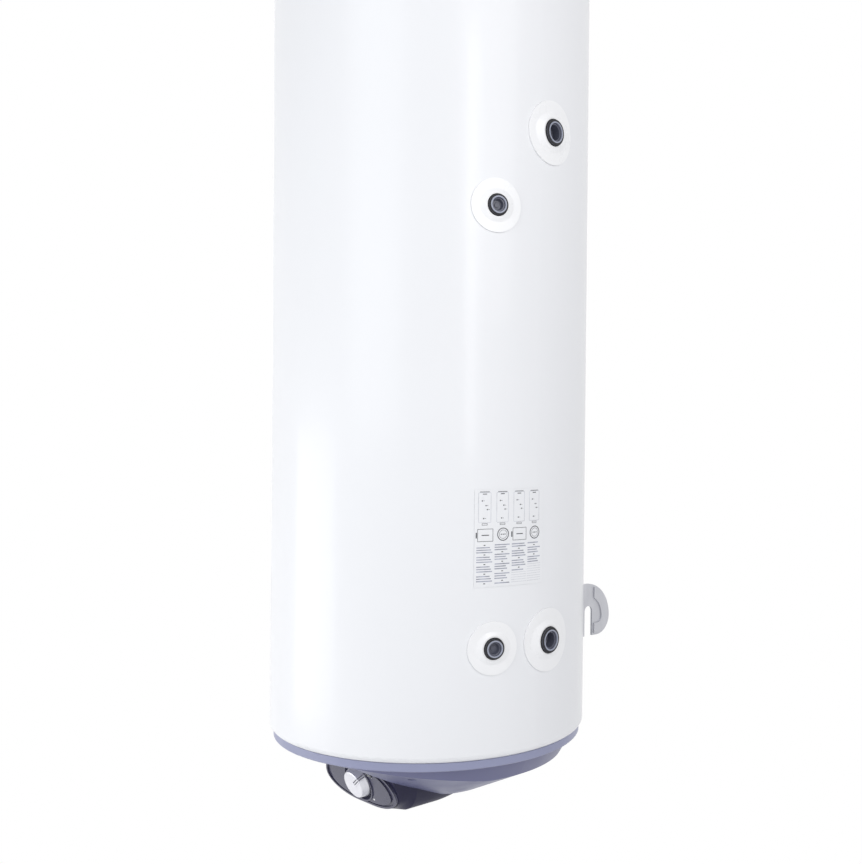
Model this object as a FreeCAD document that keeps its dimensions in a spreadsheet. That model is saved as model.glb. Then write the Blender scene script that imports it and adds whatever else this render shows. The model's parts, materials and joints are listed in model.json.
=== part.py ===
import FreeCAD, Part
import math
import os
import re

import Sketcher
from FreeCAD import Vector

# Wall-hung indirect water heater: an enamelled tank with a heating coil inside a foamed steel casing.
# The origin lies on the wall, midway between the two upper hanging points. +Z is up and -Y is the front.
# Heights and radii are taken from the casing's own axis and its lower rim; hang_inset sets them in place.
SIZES = [
    ("casing_radius", 220, "outer radius of the painted casing"),
    ("casing_wall", 0.8, "sheet of the casing"),
    ("casing_height", 1190, "lower rim to upper rim"),
    ("casing_lip", 12, "width of the lip rolled inwards at each rim"),
    ("casing_roll", 8, "outer radius of that roll"),
    ("wall_room", 31, "casing to the wall"),
    ("hang_inset", 96, "upper rim to the upper hanging points"),
    ("seat_gap", 0.2, "clearance between curved faces that seat on each other"),
    ("fit_gap", 0.05, "clearance round shafts, screws and tubes in their holes"),
    ("loose_gap", 0.3, "clearance round what is put in by hand"),
    ("overlap", 0.5, "depth to which the forms that make up one piece run into each other"),
    ("foam_gap", 0.3, "clearance left round the foam"),
    ("foam_room", 22, "casing to tank"),
    ("tank_wall", 2, "tank sheet"),
    ("tank_bottom", 70, "lower rim to the lower weld"),
    ("tank_headroom", 70, "upper weld to the upper rim"),
    ("dome_rise", 50, "height of each tank end"),
    ("lid_rise", 22, "height of the top cover above the casing"),
    ("lid_wall", 1.5, "sheet of the top cover"),
    ("rim_inset", 5.2, "step from the casing in to the base ring and the top cover"),
    ("lid_flat", 0.7, "share of the top cover's radius that is nearly flat"),
    ("lid_crown", 3, "drop of the top cover from its middle to its shoulder's start"),
    ("lid_slope", 10, "drop of the top cover from its middle to its shoulder"),
    ("lid_shoulder", 8, "width of the top cover's shoulder"),
    ("lid_bend", 20, "rounding of the top cover's shoulder"),
    ("lid_edge", 4, "rounding of the top cover's edge"),
    ("lid_spigot", 8, "depth of the top cover's spigot"),
    ("ring_height", 11, "height of the base ring below the rim"),
    ("ring_wall", 4.2, "width of the lip that centres the ring in the casing"),
    ("ring_lip", 7, "height of the lip that centres the ring in the casing"),
    ("ring_edge", 1.2, "rounding of the base ring's lower edge"),
    ("cover_lap", 1.4, "reach of the bottom cover under the base ring"),
    ("cover_spigot", 9, "height of the cover's spigot inside the base ring"),
    ("crease_inset", 14.5, "cover's edge in to the crease round it"),
    ("crease_depth", 36.5, "depth of that crease"),
    ("sole_radius", 98, "radius of the cover's flat sole"),
    ("cover_depth", 79, "depth of the flat sole"),
    ("cover_wall", 2.5, "wall of the moulded cover"),
    ("slope_depth", 126.1, "depth of the tip of the tilted cone that lifts the cover's front"),
    ("slope_angle", 23.7, "rise of that cone from the horizontal"),
    ("slope_tilt", 5.4, "tilt of that cone towards the front"),
    ("brow_depth", 18, "depth of the ceiling in front of the fascia"),
    ("brow_back", 100, "axis to the back of that ceiling"),
    ("bay_width", 95, "half width of the pipe bay at the back"),
    ("bay_inset", 125, "casing's back to the front of the pipe bay"),
    ("bay_depth", 28, "depth of the pipe bay's ceiling"),
    ("housing_width", 90, "half width of the control housing"),
    ("housing_depth", 95.5, "depth of the control housing"),
    ("housing_corner", 35, "rounding of the housing's lower corners"),
    ("housing_flare", 90, "axis to the place where the housing reaches its full width"),
    ("housing_back", 5, "axis to the back of the housing"),
    ("housing_heel", 50, "axis to the place where the housing's underside starts to rise"),
    ("heel_radius", 60, "rounding of that place"),
    ("housing_wall", 2.5, "wall of the control housing"),
    ("housing_fall", 6, "depth below the housing's underside that is left for the fascia's lower edge"),
    ("housing_brim", 60, "knob's centre up to the top of the form from which the housing is cut"),
    ("housing_gap", 0.3, "clearance between housing and cover"),
    ("fascia_forward", 119.1, "axis to the knob's centre on the fascia"),
    ("fascia_depth", 65, "depth of the knob's centre"),
    ("fascia_tilt", 20, "lean of the fascia"),
    ("fascia_width", 79, "half width of the fascia"),
    ("fascia_flat", 17, "half length of the straight stretch between the fascia's round ends"),
    ("fascia_low", 6, "knob's centre down to the fascia's widest place"),
    ("fascia_drop", 27.5, "that place to the fascia's lower edge"),
    ("fascia_rise", 36, "that place to the fascia's upper edge"),
    ("fascia_thick", 3.5, "thickness of the fascia"),
    ("fascia_rim", 3, "width of the rim round the fascia"),
    ("pad_width", 67, "half width of the raised pad inside the groove"),
    ("pad_low", 8, "knob's centre down to the pad's widest place"),
    ("pad_drop", 20.5, "that place to the pad's lower edge"),
    ("pad_rise", 32, "that place to the pad's upper edge"),
    ("groove_depth", 2, "depth of the groove round the pad"),
    ("dish_radius", 27.5, "radius of the dish behind the knob"),
    ("dish_depth", 7, "depth of the dish"),
    ("dish_wall", 1.5, "wall of the dish"),
    ("dish_lip", 2, "width of the raised lip round the dish"),
    ("dish_lip_rise", 1.5, "height of that lip"),
    ("knob_radius", 23, "radius of the knob's skirt"),
    ("knob_face", 19, "radius of the knob's flat face"),
    ("knob_stand", 10, "height of the knob's face above the fascia"),
    ("knob_bevel", 10, "height of the knob's conical side"),
    ("knob_crown", 0.6, "rise of the face towards its middle"),
    ("knob_rounding", 1.6, "rounding round the face"),
    ("knob_skirt_rounding", 1, "rounding round the skirt"),
    ("knob_socket", 4, "face of the knob to the floor of its socket"),
    ("knob_lift", 0.6, "clearance between the knob and the dish"),
    ("pointer_angle", 37, "pointer's direction above the horizontal at rest"),
    ("pointer_width", 1.8, "width of each ridge of the pointer"),
    ("pointer_pitch", 3.2, "distance between the ridges"),
    ("pointer_start", 4.5, "knob's centre to the start of the ridges"),
    ("pointer_rise", 0.9, "height of the ridges"),
    ("spindle_radius", 3, "radius of the knob's spindle"),
    ("spindle_grip", 0.02, "clearance of the spindle in the knob"),
    ("spindle_reach", 18, "length of the spindle behind the dish"),
    ("lens_across", 31, "knob's centre to the pilot lens, across"),
    ("lens_up", 17.5, "knob's centre to the pilot lens, up"),
    ("lens_radius", 2.2, "rounding of the pilot lens"),
    ("lens_roll", 8, "slope of the pilot lens"),
    ("lens_length", 8, "distance between the lens's round ends"),
    ("lens_stand", 1.6, "height of the lens above the fascia"),
    ("lens_edge", 1, "rounding of the lens's front"),
    ("port_near", 72.3, "angle from the front to the sensor pockets"),
    ("port_far", 95, "angle from the front to the coil connections"),
    ("coil_upper", 797, "height of the upper coil connection"),
    ("coil_lower", 142, "height of the lower coil connection"),
    ("sensor_upper", 694, "height of the upper sensor pocket"),
    ("sensor_lower", 141, "height of the lower sensor pocket"),
    ("socket_stand", 1.5, "height of each socket's face above the casing"),
    ("thread_length", 15, "length of the thread in each socket"),
    ("socket_end", 6, "tank's outside to the inner end of each socket"),
    ("port_gap", 2.5, "clearance round each socket in the casing"),
    ("coil_socket", 17.25, "outer radius of a coil connection's socket"),
    ("coil_throat", 10, "depth of its smooth mouth"),
    ("coil_mouth", 13.35, "radius of its smooth mouth"),
    ("coil_thread", 12.06, "radius at the crests of its three-quarter-inch thread"),
    ("coil_flange", 16.4, "radius of its plug's flange"),
    ("coil_rose", 41, "radius of its escutcheon"),
    ("sensor_socket", 13.75, "outer radius of a sensor pocket's socket"),
    ("sensor_throat", 3, "depth of its smooth mouth"),
    ("sensor_mouth", 10.6, "radius of its smooth mouth"),
    ("sensor_thread", 9.316, "radius at the crests of its half-inch thread"),
    ("sensor_flange", 13, "radius of its plug's flange"),
    ("sensor_rose", 33.75, "radius of its escutcheon"),
    ("seal_thick", 4.5, "thickness of each socket's seal"),
    ("seal_edge", 0.5, "rounding of the seal's edge"),
    ("seal_gap", 0.1, "clearance between seal and plug mouth"),
    ("flange_thick", 2.2, "thickness of each plug's flange"),
    ("plug_gap", 0.3, "clearance round each plug's shank"),
    ("plug_wall", 1.4, "wall of each plug"),
    ("plug_nose", 3, "bevel at the closed end of each plug"),
    ("flange_edge", 0.6, "rounding of the plug's flange"),
    ("cup_edge", 0.5, "rounding where its cup starts"),
    ("cup_floor_edge", 1.2, "rounding of the cup's floor"),
    ("rose_thick", 1.8, "thickness of each escutcheon's skirt"),
    ("rose_rise", 4.4, "height of each escutcheon's hub above the casing"),
    ("rose_gap", 0.4, "clearance between escutcheon and socket"),
    ("rose_land", 2, "width of the flat round the hub's bore"),
    ("rose_hub", 0.93, "share of the escutcheon's radius that its hub covers"),
    ("rose_root", 3, "depth from which the hub is drawn, so that it runs into the skirt"),
    ("sleeve_radius", 9, "outer radius of a sensor pocket's sleeve"),
    ("sleeve_bore", 8, "bore of that sleeve"),
    ("sleeve_end", 80, "casing axis to the sleeve's closed end"),
    ("sleeve_cap", 1, "thickness of that end"),
    ("coil_inset", 28, "tank's outside in to the coil's centreline"),
    ("tube_radius", 11, "outer radius of the coil's tube"),
    ("tube_wall", 2, "wall of the coil's tube"),
    ("coil_turns", 10, "whole turns of the coil"),
    ("bend_radius", 24, "radius of the bends at the coil's ends"),
    ("label_height", 122, "height of the connection label"),
    ("label_middle", 279, "height of the label's middle"),
    ("label_angle", 26.5, "angle that the label covers"),
    ("label_turn", 78.8, "angle from the front to the label's middle"),
    ("label_gap", 0.35, "glue film between the label and the casing"),
    ("label_thick", 0.3, "thickness of the label"),
    ("hang_low", 144, "lower rim to the lower hanging points"),
    ("ear_offset", 118, "middle plane to the middle of each ear"),
    ("ear_wall", 3, "thickness of the brackets"),
    ("ear_high", 41.1, "hanging point to the ear's top"),
    ("ear_low", 36.3, "hanging point to the ear's bottom"),
    ("ear_shoulder", 50, "rounding of the ear's upper corner"),
    ("ear_heel", 27, "rounding of the ear's lower corner"),
    ("ear_gap", 1, "clearance round each ear in the casing"),
    ("slot_forward", 46, "wall to the hanging points"),
    ("slot_radius", 8, "half width of each ear's slot"),
    ("ear_forward", 1, "wall to the ears"),
    ("ear_rib", 2, "height of the band pressed up round each ear"),
    ("ear_rib_width", 15, "width of that band"),
    ("ear_rib_gap", 3, "slot to that band"),
    ("ear_rib_inset", 3, "ear's edge to the band"),
    ("strap_height", 44, "height of the strap that joins the ears"),
    ("grommet_wall", 3.5, "width of the collar round each ear"),
    ("grommet_stand", 3, "height of that collar above the casing"),
    ("neck_radius", 64, "outer radius of the flange's neck"),
    ("neck_wall", 6, "wall of the neck"),
    ("neck_top", 8, "bottom of the tank to the top of the neck"),
    ("gasket_margin", 1, "gasket to the bolts"),
    ("collar_radius", 78, "outer radius of the neck's collar and of the plate"),
    ("collar_depth", 4, "depth of the collar's lower face"),
    ("collar_thick", 8, "thickness of the collar"),
    ("gasket_thick", 3, "thickness of the gasket"),
    ("collar_room", 2, "clearance round the collar in the foam"),
    ("plate_thick", 5, "thickness of the flange plate"),
    ("bolt_circle", 71, "radius of the bolt circle"),
    ("bolt_radius", 4, "radius of each flange bolt"),
    ("bolt_count", 6, "number of flange bolts"),
    ("bolt_head", 5.3, "height of each bolt's head"),
    ("bolt_across", 7.4, "axis of each bolt to the corners of its head"),
    ("element_spread", 20, "axis to the legs of each hairpin"),
    ("element_pitch", 22, "distance between the hairpins"),
    ("element_radius", 4, "radius of the hairpins' tube"),
    ("element_length", 240, "plate to the hairpins' bends"),
    ("element_stub", 8, "length of the hairpins' ends under the plate"),
    ("anode_radius", 10.5, "radius of the anode"),
    ("anode_length", 320, "length of the anode"),
    ("anode_back", 44, "axis to the anode"),
    ("anode_stud", 4, "radius of the anode's stud"),
    ("anode_stud_end", 9, "length of the stud under the plate"),
    ("anode_nut", 7.5, "axis of the anode's nut to its corners"),
    ("anode_nut_height", 6.5, "height of that nut"),
    ("well_radius", 7, "outer radius of the thermowell"),
    ("well_bore", 5.5, "bore of the thermowell"),
    ("well_length", 260, "length of the thermowell inside the tank"),
    ("well_stub", 4, "length of the thermowell under the plate"),
    ("bulb_radius", 4, "radius of the sensing bulb"),
    ("bulb_length", 120, "length of the sensing bulb"),
    ("bulb_inset", 5, "end of the thermowell to the bulb"),
    ("capillary_radius", 1.2, "radius of the capillary"),
    ("capillary_bend", 12, "bend of the capillary"),
    ("capillary_drop", 30, "plate to the capillary's lowest straight"),
    ("cutout_across", 48, "axis to the cut-out, to the left"),
    ("cutout_forward", 22, "axis to the cut-out, to the front"),
    ("cutout_radius", 12, "radius of the safety cut-out"),
    ("cutout_height", 14, "height of the cut-out"),
    ("button_radius", 3, "radius of its reset button"),
    ("button_length", 5.5, "length of the button"),
    ("button_stand", 2.5, "height of the button out of the cut-out"),
    ("button_room", 6, "depth of the button's bore"),
    ("terminal_across", 28, "axis to the terminal block, to the right"),
    ("terminal_back", 4, "axis to the terminal block, to the back"),
    ("terminal_width", 30, "width of the terminal block"),
    ("terminal_length", 16, "depth of the terminal block, front to back"),
    ("terminal_height", 14, "height of the terminal block"),
    ("terminal_hole", 2.4, "radius of its wire holes"),
    ("terminal_pitch", 10, "distance between the wire holes"),
    ("earth_across", 30, "axis to the earth stud, to the right"),
    ("earth_forward", 45, "axis to the earth stud, to the front"),
    ("earth_radius", 3, "radius of the earth stud"),
    ("earth_length", 14, "length of the earth stud"),
    ("earth_nut", 5.8, "axis of the earth nut to its corners"),
    ("earth_nut_height", 4.8, "height of the earth nut"),
    ("washer_radius", 6, "radius of the earth washer"),
    ("washer_thick", 1.2, "thickness of the earth washer"),
    ("case_width", 44, "width of the thermostat's case"),
    ("case_length", 30, "depth of the thermostat's case, front to back"),
    ("case_height", 38, "height of the thermostat's case"),
    ("case_low", 14, "knob's centre to the case's lower face"),
    ("well_forward", 40, "axis to the thermowell"),
    ("pipe_across", 50, "middle plane to each water pipe"),
    ("pipe_inset", 95, "casing's back to the water pipes"),
    ("pipe_radius", 10.48, "outer radius of the pipes' half-inch thread"),
    ("pipe_thread", 25, "length of that thread"),
    ("pipe_shank", 10.2, "outer radius of the pipes above the thread"),
    ("pipe_bore", 7.5, "bore of the water pipes"),
    ("pipe_end", 64, "depth of the pipes' lower ends"),
    ("pipe_rounding", 0.8, "rounding of those ends"),
    ("inlet_reach", 90, "height of the inlet pipe's top"),
    ("outlet_rise", 10, "upper weld to the outlet pipe's top"),
    ("collar_wall", 3, "wall of the coloured collars round the pipes"),
    ("collar_rim", 3, "reach of their flanges"),
    ("collar_flange", 4, "thickness of their flanges"),
    ("collar_length", 6, "length of the collars inside the cover"),
    ("collar_edge", 1, "rounding of their flanges"),
    ("spreader_step", 4, "width of the step on which the inlet's diffuser sits"),
    ("spreader_radius", 20.2, "outer radius of the inlet's diffuser"),
    ("spreader_grip", 12, "length of the diffuser below the pipe's end"),
    ("spreader_top", 12, "height of the diffuser above the pipe's end"),
    ("spreader_wall", 3, "wall of the diffuser"),
    ("window_width", 7, "width of the diffuser's windows"),
    ("window_height", 8, "height of the windows"),
    ("screw_inset", 19.6, "base ring's bore in to the cover's screws"),
    ("screw_turn", 45, "angle from the front to the first screw"),
    ("screw_radius", 2, "radius of each cover screw"),
    ("notch_gap", 0.5, "clearance beside each arm in the cover's spigot"),
    ("screw_reach", 6, "depth of the screws' upper ends"),
    ("screw_head", 4.6, "radius of each screw's head"),
    ("pocket_radius", 6, "radius of each screw's pocket in the cover"),
    ("pocket_depth", 17, "depth of the pocket's floor"),
    ("screw_head_height", 2.4, "height of each screw's head"),
    ("screw_slot", 1, "width and depth of the slot in it"),
    ("boss_depth", 4, "depth of the upper faces of the base ring's screw bosses"),
    ("arm_height", 6, "height of the arms that carry them"),
    ("arm_lift", 2, "base ring's lower face to the arms"),
    ("tab_radius", 7, "radius of the base ring's screw bosses"),
    ("gland_across", 60, "axis to the cable gland, to the left"),
    ("gland_back", 55, "axis to the cable gland, to the back"),
    ("gland_bore", 4, "bore of the cable gland"),
    ("gland_shank", 8, "outer radius of the gland's shank and nose"),
    ("gland_flange", 12, "radius of the gland's flange"),
    ("gland_flange_height", 3, "height of the gland's flange"),
    ("gland_nose", 9, "length of the gland below the cover"),
    ("gland_length", 12, "length of the gland inside the cover"),
    ("gland_edge", 1.5, "rounding of the gland's nose"),
]

os.makedirs("parts", exist_ok=True)
doc = FreeCAD.newDocument("water_heater")
sheet = doc.addObject("Spreadsheet::Sheet", "Sizes")
for row, (alias, size, meaning) in enumerate(SIZES, 1):
    sheet.set(f"A{row}", meaning)
    sheet.set(f"B{row}", str(size))
    sheet.setAlias(f"B{row}", alias)
doc.recompute()

ALIASES = {alias for alias, size, meaning in SIZES}
nodes = []

# Lengths that follow from the driving dimensions.
WORKED = {
    "axis_to_wall": "casing_radius + wall_room",
    "hang_height": "casing_height - hang_inset",
    "tank_top": "casing_height - tank_headroom",
    "outlet_reach": "tank_top + outlet_rise",
    "bay_start": "casing_radius - bay_inset",
    "pipe_back": "casing_radius - pipe_inset",
    "tank_radius": "casing_radius - foam_room",
    "lid_radius": "casing_radius - rim_inset",
    "spigot_radius": "casing_radius - casing_lip - seat_gap",
    "ring_radius": "casing_radius - rim_inset",
    "ring_bore": "spigot_radius - ring_wall",
    "cover_radius": "ring_bore + cover_lap",
    "crease_radius": "cover_radius - crease_inset",
    "screw_circle": "ring_bore - screw_inset",
    "housing_top": "brow_depth + housing_gap",
    "arm_reach": "screw_inset + ring_wall / 2",
    "coil_radius": "tank_radius - coil_inset",
    "dome_radius": "(tank_radius * tank_radius + dome_rise * dome_rise) / (2 * dome_rise)",
    "under_plate": "collar_depth + gasket_thick + plate_thick",
    "ear_reach": "axis_to_wall - ear_forward",
    "slot_back": "axis_to_wall - slot_forward",
    "ear_start": "sqrt(tank_radius ^ 2 - (ear_offset - ear_wall / 2) ^ 2) + seat_gap",
}


def bound(text):
    """The expression with every driving dimension pointing to its cell."""
    def cell(word):
        if word[0] in WORKED:
            return "(" + bound(WORKED[word[0]]) + ")"
        return "Sizes." + word[0] if word[0] in ALIASES else word[0]
    return re.sub(r"[a-z][a-z_]*", cell, text)


def value(text):
    """The number that an expression stands for."""
    return float(sheet.evalExpression(bound(text)))


def bind(thing, prop, text):
    """Ties one property of an object to the driving dimensions."""
    thing.setExpression(prop, bound(text))


def place(thing, pose):
    """Ties an object's placement to the driving dimensions."""
    bind(thing, "Placement", pose)
    return thing


def shift(across="0", back="0", up="0"):
    return f"placement(vector({across}; {back}; {up}); rotation(vector(0; 0; 1); 0))"


def turn(axis, angle):
    return f"placement(vector(0; 0; 0); rotation(vector({axis}); {angle}))"


ROW = shift("0", "-axis_to_wall", "-hang_height")
ABOUT_X = "1; 0; 0"
ABOUT_Y = "0; 1; 0"
ABOUT_Z = "0; 0; 1"
FASCIA = shift("0", "-fascia_forward", "-fascia_depth") + " * " + turn(ABOUT_X, "fascia_tilt")


def node(thing, name, pose=None):
    """Names a finished sub-part and sets it in the row frame; pose is taken from the casing's axis and rim."""
    thing.Label = name
    place(thing, ROW + (" * " + pose if pose else ""))
    nodes.append(thing)
    return thing


def sketch_on(body, role, corners, offset=None):
    """Closed outline of straight edges on one of the body's own planes; every corner is driven by the sheet."""
    sketch = body.newObject("Sketcher::SketchObject", "Outline")
    plane = next(face for face in body.Origin.OriginFeatures if face.Role == role)
    sketch.AttachmentSupport = (plane, "")
    sketch.MapMode = "FlatFace"
    if offset:
        bind(sketch, "AttachmentOffset.Base.z", offset)
    points = [Vector(value(corner[0]), value(corner[1]), 0) for corner in corners]
    count = len(points)
    for index in range(count):
        sketch.addGeometry(Part.LineSegment(points[index], points[(index + 1) % count]), False)
    for index in range(count):
        sketch.addConstraint(Sketcher.Constraint("Coincident", index, 2, (index + 1) % count, 1))
    for index, corner in enumerate(corners):
        for kind, text in (("DistanceX", corner[0]), ("DistanceY", corner[1])):
            number = sketch.addConstraint(Sketcher.Constraint(kind, -1, 1, index, 1, value(text)))
            bind(sketch, f"Constraints[{number}]", text)
    return sketch


def near(first, second):
    return abs(first - second) < 1e-4


def round_edges(body, chosen, radius):
    """Fillet on the edges of the body so far that the test picks."""
    doc.recompute()
    base = body.Tip
    picked = [f"Edge{n}" for n, edge in enumerate(base.Shape.Edges, 1) if chosen(edge)]
    if not picked:
        raise RuntimeError("no edge to round on " + body.Name)
    fillet = body.newObject("PartDesign::Fillet", "Rounding")
    fillet.Base = (base, picked)
    bind(fillet, "Radius", radius)
    return body


def ring_edge(radius, height, along):
    """Test for the round edge of a turned piece at this radius and height."""
    def chosen(edge):
        curve = edge.Curve
        if not isinstance(curve, Part.Circle):
            return False
        return near(curve.Radius, abs(radius)) and near(getattr(curve.Center, along), height)
    return chosen


def lathe(name, corners, along="z", angle="360"):
    """Turned piece: an outline of (radius, height) corners spun about Z or Y; a third value rounds a corner."""
    body = doc.addObject("PartDesign::Body", name)
    sketch = sketch_on(body, "XZ_Plane" if along == "z" else "XY_Plane", corners)
    spun = body.newObject("PartDesign::Revolution", "Turned")
    spun.Profile = sketch
    spun.ReferenceAxis = (sketch, ["V_Axis"])
    bind(spun, "Angle", angle)
    for corner in corners:
        if len(corner) > 2:
            round_edges(body, ring_edge(value(corner[0]), value(corner[1]), along), corner[2])
    return body


def prism(name, role, corners, length, offset=None, both=False):
    """Straight piece: an outline on a plane, given this length."""
    body = doc.addObject("PartDesign::Body", name)
    sketch = sketch_on(body, role, corners, offset)
    pad = body.newObject("PartDesign::Pad", "Length")
    pad.Profile = sketch
    pad.SideType = "Symmetric" if both else "One side"
    bind(pad, "Length", length)
    return body


def cylinder(name, radius, height, pose=None):
    thing = doc.addObject("Part::Cylinder", name)
    bind(thing, "Radius", radius)
    bind(thing, "Height", height)
    return place(thing, pose) if pose else thing


def block(name, across, back, up, pose):
    """Box from its three sizes, with pose at its lowest corner."""
    thing = doc.addObject("Part::Box", name)
    bind(thing, "Length", across)
    bind(thing, "Width", back)
    bind(thing, "Height", up)
    return place(thing, pose)


def cut(name, base, tool):
    thing = doc.addObject("Part::Cut", name)
    thing.Base = base
    thing.Tool = tool
    return thing


def common(name, base, tool):
    thing = doc.addObject("Part::Common", name)
    thing.Base = base
    thing.Tool = tool
    return thing


def fuse(name, things):
    if len(things) == 1:
        return things[0]
    thing = doc.addObject("Part::MultiFuse", name)
    thing.Shapes = things
    return thing


def group(name, shapes, pose=None):
    """Sub-part whose shape is worked out below from the sheet's values."""
    thing = doc.addObject("Part::Feature", name)
    thing.Shape = shapes
    return node(thing, name, pose)


# The four connections on the right side. Each is turned about the casing's axis and points outwards along -Y.
PORTS = [
    ("upper_coil", "coil", "port_far", "coil_upper"),
    ("upper_sensor", "sensor", "port_near", "sensor_upper"),
    ("lower_sensor", "sensor", "port_near", "sensor_lower"),
    ("lower_coil", "coil", "port_far", "coil_lower"),
]
FACE = "(casing_radius + socket_stand)"


def port_pose(turned, height):
    return shift(up=height) + " * " + turn(ABOUT_Z, turned)


def port_holes(name, clearance):
    """Tools for the round holes that the sockets pass through."""
    tools = []
    for port, kind, turned, height in PORTS:
        pose = port_pose(turned, height) + " * " + turn(ABOUT_X, "90")
        tools.append(cylinder(f"{name}_{port}", f"{kind}_socket + {clearance}", "2 * casing_radius", pose))
    return tools


# Heights of the two brackets' hanging points above the rim.
BRACKETS = [("upper", "hang_height"), ("lower", "hang_low")]


def ear_holes(name, clearance, brackets=BRACKETS):
    """Tools for the tall slots that the ears pass through."""
    tools = []
    for label, height in brackets:
        for side, across in (("left", "-ear_offset"), ("right", "ear_offset")):
            tools.append(block(
                f"{name}_{label}_{side}",
                f"ear_wall + 2 * {clearance}",
                "axis_to_wall",
                f"ear_low + ear_high + 2 * {clearance}",
                shift(f"{across} - ear_wall / 2 - {clearance}", "0", f"{height} - ear_low - {clearance}"),
            ))
    return tools


def strap_room(name):
    """Tools for the rebates in the foam behind the brackets' straps."""
    tools = []
    for label, height in BRACKETS:
        reach = cylinder(f"{name}_{label}_disc", "tank_radius + seat_gap + ear_wall + foam_gap",
                         "strap_height + 2 * foam_gap", shift(up=f"{height} - strap_height / 2 - foam_gap"))
        sector = block(f"{name}_{label}_sector", "2 * ear_offset", "axis_to_wall", "2 * strap_height",
                       shift("-ear_offset", "0", f"{height} - strap_height"))
        tools.append(common(f"{name}_{label}", reach, sector))
    return tools


def make_casing():
    """Painted sheet casing, rolled inwards at both rims, with holes for the sockets and the ears."""
    shell = lathe("casing_shell", [
        ("casing_radius - casing_lip", "0"),
        ("casing_radius", "0", "casing_roll"),
        ("casing_radius", "casing_height", "casing_roll"),
        ("casing_radius - casing_lip", "casing_height"),
        ("casing_radius - casing_lip", "casing_height - casing_wall"),
        ("casing_radius - casing_wall", "casing_height - casing_wall", "casing_roll - casing_wall"),
        ("casing_radius - casing_wall", "casing_wall", "casing_roll - casing_wall"),
        ("casing_radius - casing_lip", "casing_wall"),
    ])
    holes = fuse("casing_holes", port_holes("casing", "port_gap") + ear_holes("casing", "ear_gap"))
    node(cut("outer_casing", shell, holes), "outer_casing")


def make_top_cover():
    """Shallow pressed lid with a spigot that centres it in the casing."""
    top = "casing_height + lid_rise"
    node(lathe("top_cover", [
        ("0", top),
        ("lid_radius * lid_flat", f"{top} - lid_crown"),
        ("lid_radius - lid_shoulder", f"{top} - lid_slope", "lid_bend"),
        ("lid_radius", "casing_height + lid_rise / 3", "lid_edge"),
        ("lid_radius", "casing_height"),
        ("spigot_radius", "casing_height"),
        ("spigot_radius", "casing_height - lid_spigot"),
        ("spigot_radius - lid_wall", "casing_height - lid_spigot"),
        ("spigot_radius - lid_wall", "casing_height + lid_wall"),
        ("lid_radius - lid_wall", "casing_height + lid_wall"),
        ("lid_radius - lid_wall", "casing_height + lid_rise / 3 - lid_wall / 2"),
        ("lid_radius - lid_shoulder - lid_wall / 2", f"{top} - lid_slope - lid_wall"),
        ("lid_radius * lid_flat", f"{top} - lid_crown - lid_wall"),
        ("0", f"{top} - lid_wall"),
    ]), "top_cover")


def screw_pose(index, height):
    return turn(ABOUT_Z, f"screw_turn + {index} * 90") + " * " + shift("0", "-screw_circle", height)


def make_base_ring():
    """Pale ring that closes the casing's lower rim and carries the bottom cover's screws."""
    ring = lathe("ring_body", [
        ("ring_bore", "-ring_height"),
        ("ring_radius", "-ring_height", "ring_edge"),
        ("ring_radius", "0"),
        ("spigot_radius", "0"),
        ("spigot_radius", "ring_lip"),
        ("ring_bore", "ring_lip"),
    ])
    bosses = []
    for index in range(4):
        bosses.append(cylinder(f"ring_boss_{index}", "tab_radius", "pocket_depth - cover_wall - boss_depth",
                               screw_pose(index, "-pocket_depth + cover_wall + seat_gap")))
        bosses.append(block(f"ring_arm_{index}", "tab_radius", "arm_reach", "arm_height",
                            screw_pose(index, "-ring_height + arm_lift") + " * "
                            + shift("-tab_radius / 2", "-arm_reach")))
    drills = [cylinder(f"ring_drill_{index}", "screw_radius + fit_gap", "pocket_depth",
                       screw_pose(index, "-pocket_depth")) for index in range(4)]
    node(cut("base_ring", fuse("ring_solid", [ring] + bosses), fuse("ring_drills", drills)), "base_ring")


def cover_form(name, inset):
    """Closed form of the bottom cover, drawn in by inset: a bowl whose front is lifted by a tilted cone."""
    # Shares of the inset by which the corners move, so that the wall between two forms stays even.
    sole, crease, level, rim = "0.25", "0.8", "0.5", "1.1"
    bowl = lathe(f"{name}_bowl", [
        ("0", f"-cover_depth + {inset}"),
        (f"sole_radius - {inset} * {sole}", f"-cover_depth + {inset}"),
        (f"crease_radius - {inset} * {crease}", f"-crease_depth + {inset} * {level}"),
        (f"cover_radius - {inset} * {rim}", "-ring_height"),
        ("0", "-ring_height"),
    ])
    cone = doc.addObject("Part::Cone", f"{name}_cone")
    cone.Radius1 = 0
    bind(cone, "Height", "slope_depth")
    bind(cone, "Radius2", "slope_depth / tan(slope_angle)")
    place(cone, shift(up=f"-slope_depth + {inset} / cos(slope_angle)") + " * " + turn(ABOUT_X, "-slope_tilt"))
    return common(f"{name}_form", bowl, cone)


def cylinder_wall(name, outer, inner, height, pose):
    outside = cylinder(f"{name}_outer", outer, height, pose)
    inside = cylinder(f"{name}_inner", inner, height, pose)
    return cut(name, outside, inside)


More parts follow.
